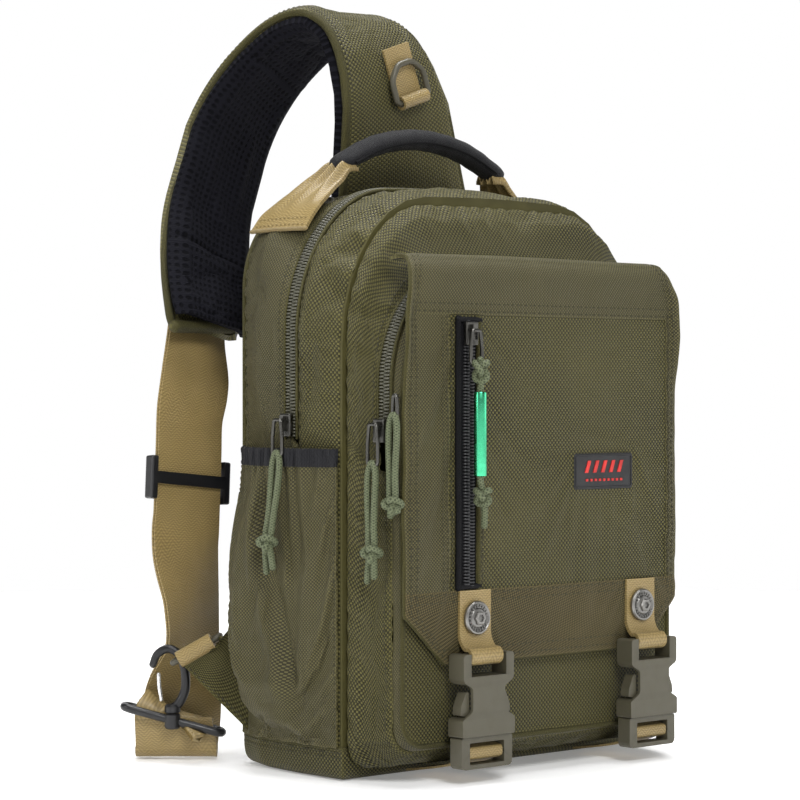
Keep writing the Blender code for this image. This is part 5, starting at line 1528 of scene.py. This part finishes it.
def build_handle():
    y = (low("handle_grip", 1) + high("handle_grip", 1)) / 2
    arch = curve_through(((-0.062, y, 0.3532), (-0.033, y, 0.3655), (0.0, y, 0.3702), (0.033, y, 0.3655),
                          (0.062, y, 0.3532)), 12)
    share = np.abs(np.linspace(-1, 1, len(arch)))
    radii = 0.0092 - 0.0012 * share ** 4 + 0.00018 * np.sin(np.linspace(0, 60, len(arch)))
    rod("handle_sleeve", arch, radii, BLACK_SLEEVE, "bag", "black_mesh", ("handle_grip",), sides=28,
        flat=0.68, start_side=(0, 1, 0))
    for side in (-1, 1):
        edge = arch + np.array((0, side * 0.0083, -0.0022))
        rod("handle_seam_%s" % ("front" if side < 0 else "back"), edge[2:-2], 0.0009, BLACK_TAPE, "bag",
            "black_mesh", sides=8)
    for word, side in SIDES:
        spots = [(0.0560, 0.034, 0.3508), (0.0640, 0.034, 0.3500), (0.0705, 0.036, 0.3440),
                 (0.0780, 0.039, 0.3376)]
        spots += [(x, 0.042, roof_height(x, 0.042) + 0.0036) for x in (0.088, 0.096, 0.1035)]
        widths = (0.0085, 0.0100, 0.0130, 0.0175, 0.0215, 0.0240, 0.0248)
        rows = curve_through([(side * s[0], s[1], s[2], w) for s, w in zip(spots, widths)], 8)
        skin = strip_skin([(r[:3], (0, 1, 0)) for r in rows], rows[:, 3], 40, 0.0006, 0.0008)
        if np.mean(skin.normals[..., 2]) < 0:
            skin.normals = -skin.normals
        t = np.linspace(-1, 1, 41)[None]
        fade = np.linspace(1, 0, len(rows))[:, None]
        pleats = np.cos(3.0 * math.pi * (t + 0.1 * fade)) * 0.0024 * smooth(0.15, 0.8, fade)
        pleats = pleats + 0.0012 * (1 - t ** 2) * fade
        skin.lift(pleats)
        shell("handle_anchor_" + word, skin, 0.0019, TAN, "bag", ("anchor_" + word,))
        for row in (0.965, 0.90):
            sew("bag", TAN_THREAD, skin.across(row, 0.04, 0.96))
        edge, normals = skin.across(1.0, 0.0, 1.0, 0.0, 60)
        rod("handle_anchor_edge_" + word, edge - normals * 0.0008, 0.0013, TAN, "bag", "tan_webbing",
            sides=8)


# ---------------------------------------------------------------- shoulder strap
# x, y, z of the pad's middle, its half width, and how far its width is turned about Z, in degrees
STRAP_ROUTE = (
    (0.030, 0.0775, 0.288, 0.060, 0), (0.029, 0.0775, 0.318, 0.064, 0), (0.027, 0.0765, 0.342, 0.062, 0),
    (0.020, 0.0710, 0.366, 0.050, 0), (0.008, 0.0670, 0.398, 0.041, 0), (0.001, 0.0710, 0.424, 0.037, 0),
    (-0.003, 0.0830, 0.4415, 0.036, 2), (-0.010, 0.1030, 0.4480, 0.035, 5),
               (-0.021, 0.1260, 0.438, 0.035, 9),
    (-0.036, 0.1455, 0.413, 0.035, 12), (-0.053, 0.1540, 0.379, 0.035, 13),
               (-0.072, 0.1495, 0.335, 0.034, 13),
    (-0.086, 0.1370, 0.299, 0.033, 11), (-0.095, 0.1225, 0.268, 0.030, 8), (-0.098, 0.1175, 0.257, 0.026, 6),
)
PAD_LAYER, PAD_APART = 0.0030, 0.0035
STRAP_ROWS, STRAP_COLUMNS = 190, 44


def strap_rows(flip=1.0):
    route = evenly(curve_through(STRAP_ROUTE, 10), STRAP_ROWS)
    angle = np.radians(route[:, 4])
    sides = np.stack((np.cos(angle), np.sin(angle), np.zeros(len(angle))), axis=1) * flip
    return list(zip(route[:, :3], sides)), route[:, 3]


def build_strap():
    rows, wide = strap_rows()
    skin = strip_skin(rows, wide, STRAP_COLUMNS, 0.0, PAD_APART + PAD_LAYER)
    t = np.linspace(-1, 1, STRAP_COLUMNS + 1)[None]
    along = np.linspace(0, 1, STRAP_ROWS)[:, None]
    ends = smooth(0.0, 0.06, along) * smooth(1.0, 0.97, along)
    drop = -0.0040 * np.clip(np.abs(t) - 0.80, 0, 1) ** 1.5 / 0.2 ** 1.5
    skin.lift(drop - 0.0006 * bell(np.abs(t), 0.80, 0.04))
    skin.lift(ends * 0.0008 * ridged(skin.points, 16.0, 81))
    bend = bell(along, 0.205, 0.010) * (1 - t ** 2)
    skin.lift(-0.0008 * bend)
    skin.refresh()
    pinned = np.broadcast_to(np.abs(t) > 0.84, skin.points.shape[:2]).copy()
    pinned[:4] = pinned[-6:] = True
    relax(skin, pinned, grow=0.010, pressure=0.4, frames=12, cap=0.0012, bending=2.0)
    padded = shell("strap_cloth", skin, 0.0050, OLIVE, "bag", ("strap_pad",))
    for column in (0.055, 0.945):
        sew("bag", THREAD, skin.down(column, 0.01, 0.985), 0.0002)
    for row in (0.986, 0.962):
        sew("bag", THREAD, skin.across(row, 0.06, 0.94), 0.0002)

    rows, wide = strap_rows(-1.0)
    mesh_skin = strip_skin(rows, wide - 0.0008, STRAP_COLUMNS, 0.0, PAD_APART + PAD_LAYER - 0.0006)
    quilt = np.cos(np.linspace(-1, 1, STRAP_ROWS) * math.pi * 0.5)[:, None] ** 0.2
    drop = -0.0042 * np.clip(np.abs(t) - 0.72, 0, 1) ** 1.5 / 0.28 ** 1.5
    mesh_skin.lift(quilt * 0.0004 + drop)
    soft = 0.0014 * ridged(mesh_skin.points, 22.0, 83) * (1 - np.abs(t) ** 3)
    for place in (0.13, 0.56, 0.76):        # quilting lines sewn across the padding
        soft = soft - 0.0022 * bell(along, place, 0.006) * (1 - t ** 4)
    mesh_skin.lift(soft * ends)
    mesh_skin.refresh()
    relax(mesh_skin, pinned, grow=0.014, pressure=0.6, frames=12, cap=0.0014, bending=2.0)
    padded = shell("strap_air_mesh", mesh_skin, 0.0050, BLACK_MESH, "bag", ("strap_mesh",))

    rows, wide = strap_rows()
    centres = np.array([r[0] for r in rows])
    sides = np.array([r[1] for r in rows])
    face = unit(np.cross(sides, np.gradient(centres, axis=0)))
    for word, sign in SIDES:
        edge = centres + sides * (sign * (wide - 0.0014))[:, None] + face * 0.0022
        rod("strap_binding_" + word, edge, 0.0027, OLIVE_FINE, "bag", "olive_fabric", sides=14)
    for word, index in (("top", 0), ("end", -1)):
        across = np.linspace(-1, 1, 24)[:, None]
        rod("strap_hem_" + word, centres[index] + sides[index] * wide[index] * across, 0.0039, OLIVE_FINE,
            "bag", "olive_fabric", sides=14)
    build_strap_ring()


def build_strap_ring():
    """A webbing tab on the pad's outer face, sewn with a cross, and the D-ring in its rolled end."""
    lower = np.array((0.0150, 0.0602, 0.3980))
    up = unit(np.array((-0.012, 0.0, 0.034)))
    right = unit(np.cross(up, (0.0, 1.0, 0.0)))
    if right[0] < 0:
        right = -right
    out = np.cross(right, up)
    centre = lower + out * 0.0047
    points = [lower + up * a + out * 0.0006 for a in (0.0340, 0.0260, 0.0180, 0.0100, 0.0060)]
    points += arc(centre, up, -out, 0.0031, range(100, 381, 40))
    path = curve_through(points, 6)
    skin = strip_skin([(p, right) for p in path], 0.0108, 12, 0.0, 0.0011)
    shell("strap_ring_tab", skin, 0.0016, TAN, "bag", ("strap_tab",))
    box_stitch("bag", skin, (0.03, 0.36), (0.08, 0.92))
    ring = fillet([(-0.0135, 0.0, 0.0030), (0.0135, 0.0, 0.0030), (0.0135, 0.0150, 0.0090),
                   (0.0060, 0.0230, 0.0080), (-0.0060, 0.0230, 0.0080), (-0.0135, 0.0150, 0.0090)])
    rod("strap_ring", [centre + right * a + up * b for a, b in ring], 0.0019, GREY_PLASTIC, "strap_ring",
        "grey_plastic", ("strap_dring",), closed=True, sides=16)


# ---------------------------------------------------------------- the strap's lower end
# it is laid out from the back left corner: OUT leaves the corner, AWAY goes behind it
CORNER = np.array((-0.113, 0.068, 0.0))
OUT, AWAY = unit(np.array((-0.743, 0.669, 0.0))), unit(np.array((0.669, 0.743, 0.0)))
HOOK_AWAY, RING_AWAY = 0.0060, -0.0050
WEBBING_HALF_WIDTH = 0.024


def corner_point(out, away, up):
    return CORNER + OUT * out + AWAY * away + UP * up


SLOPE = unit(-OUT * 0.9655 - UP * 0.2604)
LOOP_CENTRE = corner_point(0.0389, 0.01125, 0.0243)


def build_webbing():
    """Doubled webbing from the pad's end, through the adjuster, under and round the swivel loop's bar."""
    flat, low_side = np.array((1.0, 0.0, 0.0)), -OUT
    turned_in = np.array((0.978, 0.208, 0.0))
    rows = [((-0.0905, 0.1420, 0.284), turned_in), ((-0.0940, 0.1334, 0.267), turned_in),
            ((-0.0975, 0.1271, 0.252), turned_in), ((-0.1055, 0.1180, 0.226), flat),
            ((-0.1130, 0.1135, 0.205), flat), ((-0.1150, 0.1120, 0.185), flat),
            ((-0.1170, 0.1105, 0.165), flat),
            ((-0.1190, 0.1090, 0.145), flat), ((-0.1210, 0.1075, 0.125), flat)]
    for side, out, away, up in ((turned_in, 0.0295, 0.0310, 0.096), (turned_in, 0.0295, 0.0370, 0.066),
                                (mix(flat, low_side, 0.45), 0.0345, 0.0350, 0.036)):
        rows.append((corner_point(out, away, up), side))
    for degrees in (0, 36, 72, 108, 144, 180):
        angle = math.radians(degrees)
        rows.append((corner_point(0.0375, 0.0199 + 0.0076 * math.cos(angle),
                                  0.0100 - 0.0076 * math.sin(angle)),
                     low_side))
    bar, wrap = LOOP_CENTRE + AWAY * 0.00525, 0.0042
    lift = np.cross(AWAY, SLOPE)
    lift = lift * math.copysign(1.0, lift[2])
    rows += [(spot, SLOPE) for spot in arc(bar, AWAY, lift, wrap, (180, 150, 120, 90, 60, 30, 0, -25))]
    values = [[*row[0], *row[1]] for row in rows]
    path = curve_through(values, 8)
    both = [(row[:3], unit(row[3:])) for row in path]
    wide = np.full(len(path), WEBBING_HALF_WIDTH)
    share = np.arange(len(path)) / 8
    wide -= 0.0012 * smooth(len(rows) - 9.5, len(rows) - 8.0, share)
    for name, lifted, narrow, replaces in (("webbing_front", 0.0013, 0.0, ("shoulder_webbing",)),
                                           ("webbing_back", -0.0002, 0.0005, ())):
        skin = strip_skin(both, wide - narrow, 16, 0.0, lifted)
        ripple = 0.00022 * ridged(skin.points, 60.0, 91)
        skin.lift(ripple)
        skin.points[..., 2] = np.maximum(skin.points[..., 2], 0.0004 if lifted > 0 else 0.0018)
        shell(name, skin, 0.00115, TAN, "bag", replaces)
        if lifted > 0:
            for column in (0.035, 0.965):
                sew("bag", TAN_THREAD, skin.down(column, 0.02, 0.20), 0.0001)
    dress("tri_glide", BLACK_PLASTIC, 0.0009, 3)


def build_hook():
    """The swivel loop, the snap hook with its collar, and the sprung wire gate."""
    half_long, half_deep = 0.0298, 0.00525
    bars = fillet([(-half_long, -half_deep, 0.0045), (half_long, -half_deep, 0.0045),
                   (half_long, half_deep, 0.0045), (-half_long, half_deep, 0.0045)])
    rod("swivel_bar", [LOOP_CENTRE + SLOPE * a + AWAY * b for a, b in bars], 0.0025, BLACK_PLASTIC, "bag",
        "black_plastic", ("swivel_loop",), closed=True, sides=16)
    foot = corner_point(0.0389, HOOK_AWAY, 0.0)
    boss = ((0.0036, 0.0193), (0.0046, 0.0203), (0.0046, 0.0276), (0.0040, 0.0283))
    turned("swivel_boss", boss, foot, UP, BLACK_PLASTIC, "bag")
    collar = ((0.0038, 0.0287), (0.0047, 0.0294), (0.0047, 0.0324), (0.0036, 0.0338))
    turned("hook_collar", collar, foot, UP, BLACK_PLASTIC, "hook")
    route = ((0.0389, 0.0312), (0.0350, 0.0345), (0.0315, 0.0420), (0.0312, 0.0500), (0.0322, 0.0570),
             (0.0345, 0.0628), (0.0410, 0.0665), (0.0475, 0.0635), (0.0505, 0.0570))
    path = curve_through([corner_point(out, HOOK_AWAY, up) for out, up in route], 6)
    radii = np.interp(np.linspace(0, 1, len(path)), (0, 0.1, 0.45, 0.8, 1),
                      (0.0029, 0.0028, 0.0026, 0.0025, 0.0022))
    rod("hook_claw", path, radii, BLACK_PLASTIC, "hook", "black_plastic", ("snap_hook",), sides=16)
    gate = [corner_point(out, HOOK_AWAY, up)
            for out, up in ((0.0455, 0.0362), (0.0466, 0.0440), (0.0470, 0.0515))]
    rod("gate_wire", curve_through(gate, 5), 0.0011, STEEL, "gate", "gunmetal", ("wire_gate",), sides=12)


def build_wing(word, side, ring_body):
    """A sewn corner tab whose rolled webbing end carries a D-ring."""
    def place(out, away, up):
        return corner_point(out, away, up) * (side, 1.0, 1.0)

    start, end = place(0.0145, RING_AWAY, 0.0722), place(0.0342, RING_AWAY, 0.0610)
    axis = unit(end - start)
    normal = AWAY * (side, 1.0, 1.0)
    rows, columns = np.linspace(0, 1, 30)[:, None, None], np.linspace(0, 1, 22)[None, :, None]
    inner = mix(place(-0.0085, RING_AWAY, 0.097), place(-0.0085, RING_AWAY, 0.018), columns)
    outer = mix(place(0.0125, RING_AWAY, 0.0690), place(0.0318, RING_AWAY, 0.0580), columns)
    grid = mix(inner, outer, rows)
    skin = Skin(grid - normal * 0.0012, grid.mean(axis=(0, 1)) + normal * 0.1)
    sag = np.sin(math.pi * np.linspace(0, 1, 30))[:, None] * 0.0008
    skin.push(sag * ridged(skin.points, 40.0, 95))
    shell("wing_cloth_" + word, skin, 0.0022, OLIVE_FINE, "bag", ("wing_" + word,))
    for column in (0.06, 0.94):
        sew("bag", THREAD, skin.down(column, 0.05, 0.95))
    middle = (start + end) / 2
    path = curve_through(arc(middle, unit(np.cross(axis, normal)), normal, 0.0040, range(0, 361, 24)), 3)
    half = np.linalg.norm(end - start) / 2
    roll = strip_skin([(p, axis) for p in path], half, 12, 0.0, 0.0010)
    if np.dot(roll.normals[0, 0], roll.points[0, 0] - middle) < 0:
        roll = strip_skin([(p, -axis) for p in path], half, 12, 0.0, 0.0010)
    shell("wing_roll_" + word, roll, 0.0016, TAN, "bag")

    first, last = place(0.0109, RING_AWAY, 0.0743), place(0.0378, RING_AWAY, 0.05895)
    span, centre = np.linalg.norm(first - last) / 2, (first + last) / 2
    ring = fillet([(-span, 0.0, 0.0030), (span, 0.0, 0.0030), (span, 0.0130, 0.0060),
                   (span * 0.5, 0.0205, 0.0080), (-span * 0.5, 0.0205, 0.0080), (-span, 0.0130, 0.0060)])
    rod("corner_ring_" + word, [centre + axis * a + normal * b for a, b in ring], 0.0018, GREY_PLASTIC,
        ring_body, "grey_plastic", ("dring_" + word,), closed=True, sides=16)


# ---------------------------------------------------------------- sliders, pull rings and the bead
def build_pull(name, body, node, top, across, length, half_width=0.0042):
    """A pull ring of bent rod that hangs from its top bar."""
    ring = fillet([(-half_width * 0.7, 0.0, 0.0015), (half_width * 0.7, 0.0, 0.0015),
                   (half_width, -length * 0.45, 0.004), (half_width, -length, 0.0030),
                   (-half_width, -length, 0.0030), (-half_width, -length * 0.45, 0.004)])
    top, across = np.array(top), np.array(across)
    rod(name, [top + across * a + UP * b for a, b in ring], 0.0011, GUNMETAL, body, "gunmetal", (node,),
        closed=True, sides=12)


def build_sliders():
    for node in ("main_slider", "front_slider", "flap_slider"):
        dress(node, GUNMETAL, 0.0006, 3)
    main_x = low("main_slider", 0) + 0.0052
    build_pull("main_ring", "main_pull_body", "main_pull", (main_x - 0.0080, MAIN_ZIP_Y, 0.2020),
               (0, 1, 0), 0.0205)
    front_x = low("front_slider", 0) + 0.0052
    build_pull("front_ring", "front_pull_body", "front_pull", (front_x - 0.0068, FRONT_ZIP_Y, 0.2000),
               (0, 1, 0), 0.0230)
    build_pull("pocket_ring", "pocket_pull_body", "pocket_pull", (-0.1128, -0.0700, 0.2160), (0, 0.6, 0),
               0.0120, 0.0030)
    zip_face = low("flap_slider", 1) + 0.0052
    build_pull("flap_ring", "flap_pull_body", "flap_pull", (FLAP_ZIP_X - 0.0010, zip_face - 0.0068, 0.2520),
               (1, 0, 0), 0.0190)
    (x0, y0, z0), (x1, y1, z1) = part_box("bead")
    radius, tall = (x1 - x0) / 2, z1 - z0
    profile = ((radius - 0.0009, 0.0), (radius - 0.0002, 0.0003), (radius, 0.0009), (radius, tall - 0.0009),
               (radius - 0.0002, tall - 0.0003), (radius - 0.0009, tall))
    turned("tube_bead", profile, ((x0 + x1) / 2, (y0 + y1) / 2, z0), UP, GREEN_METAL, "flap_pull_body",
           ("bead",), 36)


# ---------------------------------------------------------------- the whole bag
build_main_body()
build_front_compartment()
dress("divider_wall", OLIVE_TAPE, 0.0)
for pocket_word, pocket_side in SIDES:
    build_pocket(pocket_word, pocket_side)
build_flap()
build_buckles()
build_handle()
build_strap()
build_webbing()
build_hook()
build_wing("left", 1.0, "bag")
build_wing("right", -1.0, "right_ring")
build_sliders()
build_stitches()
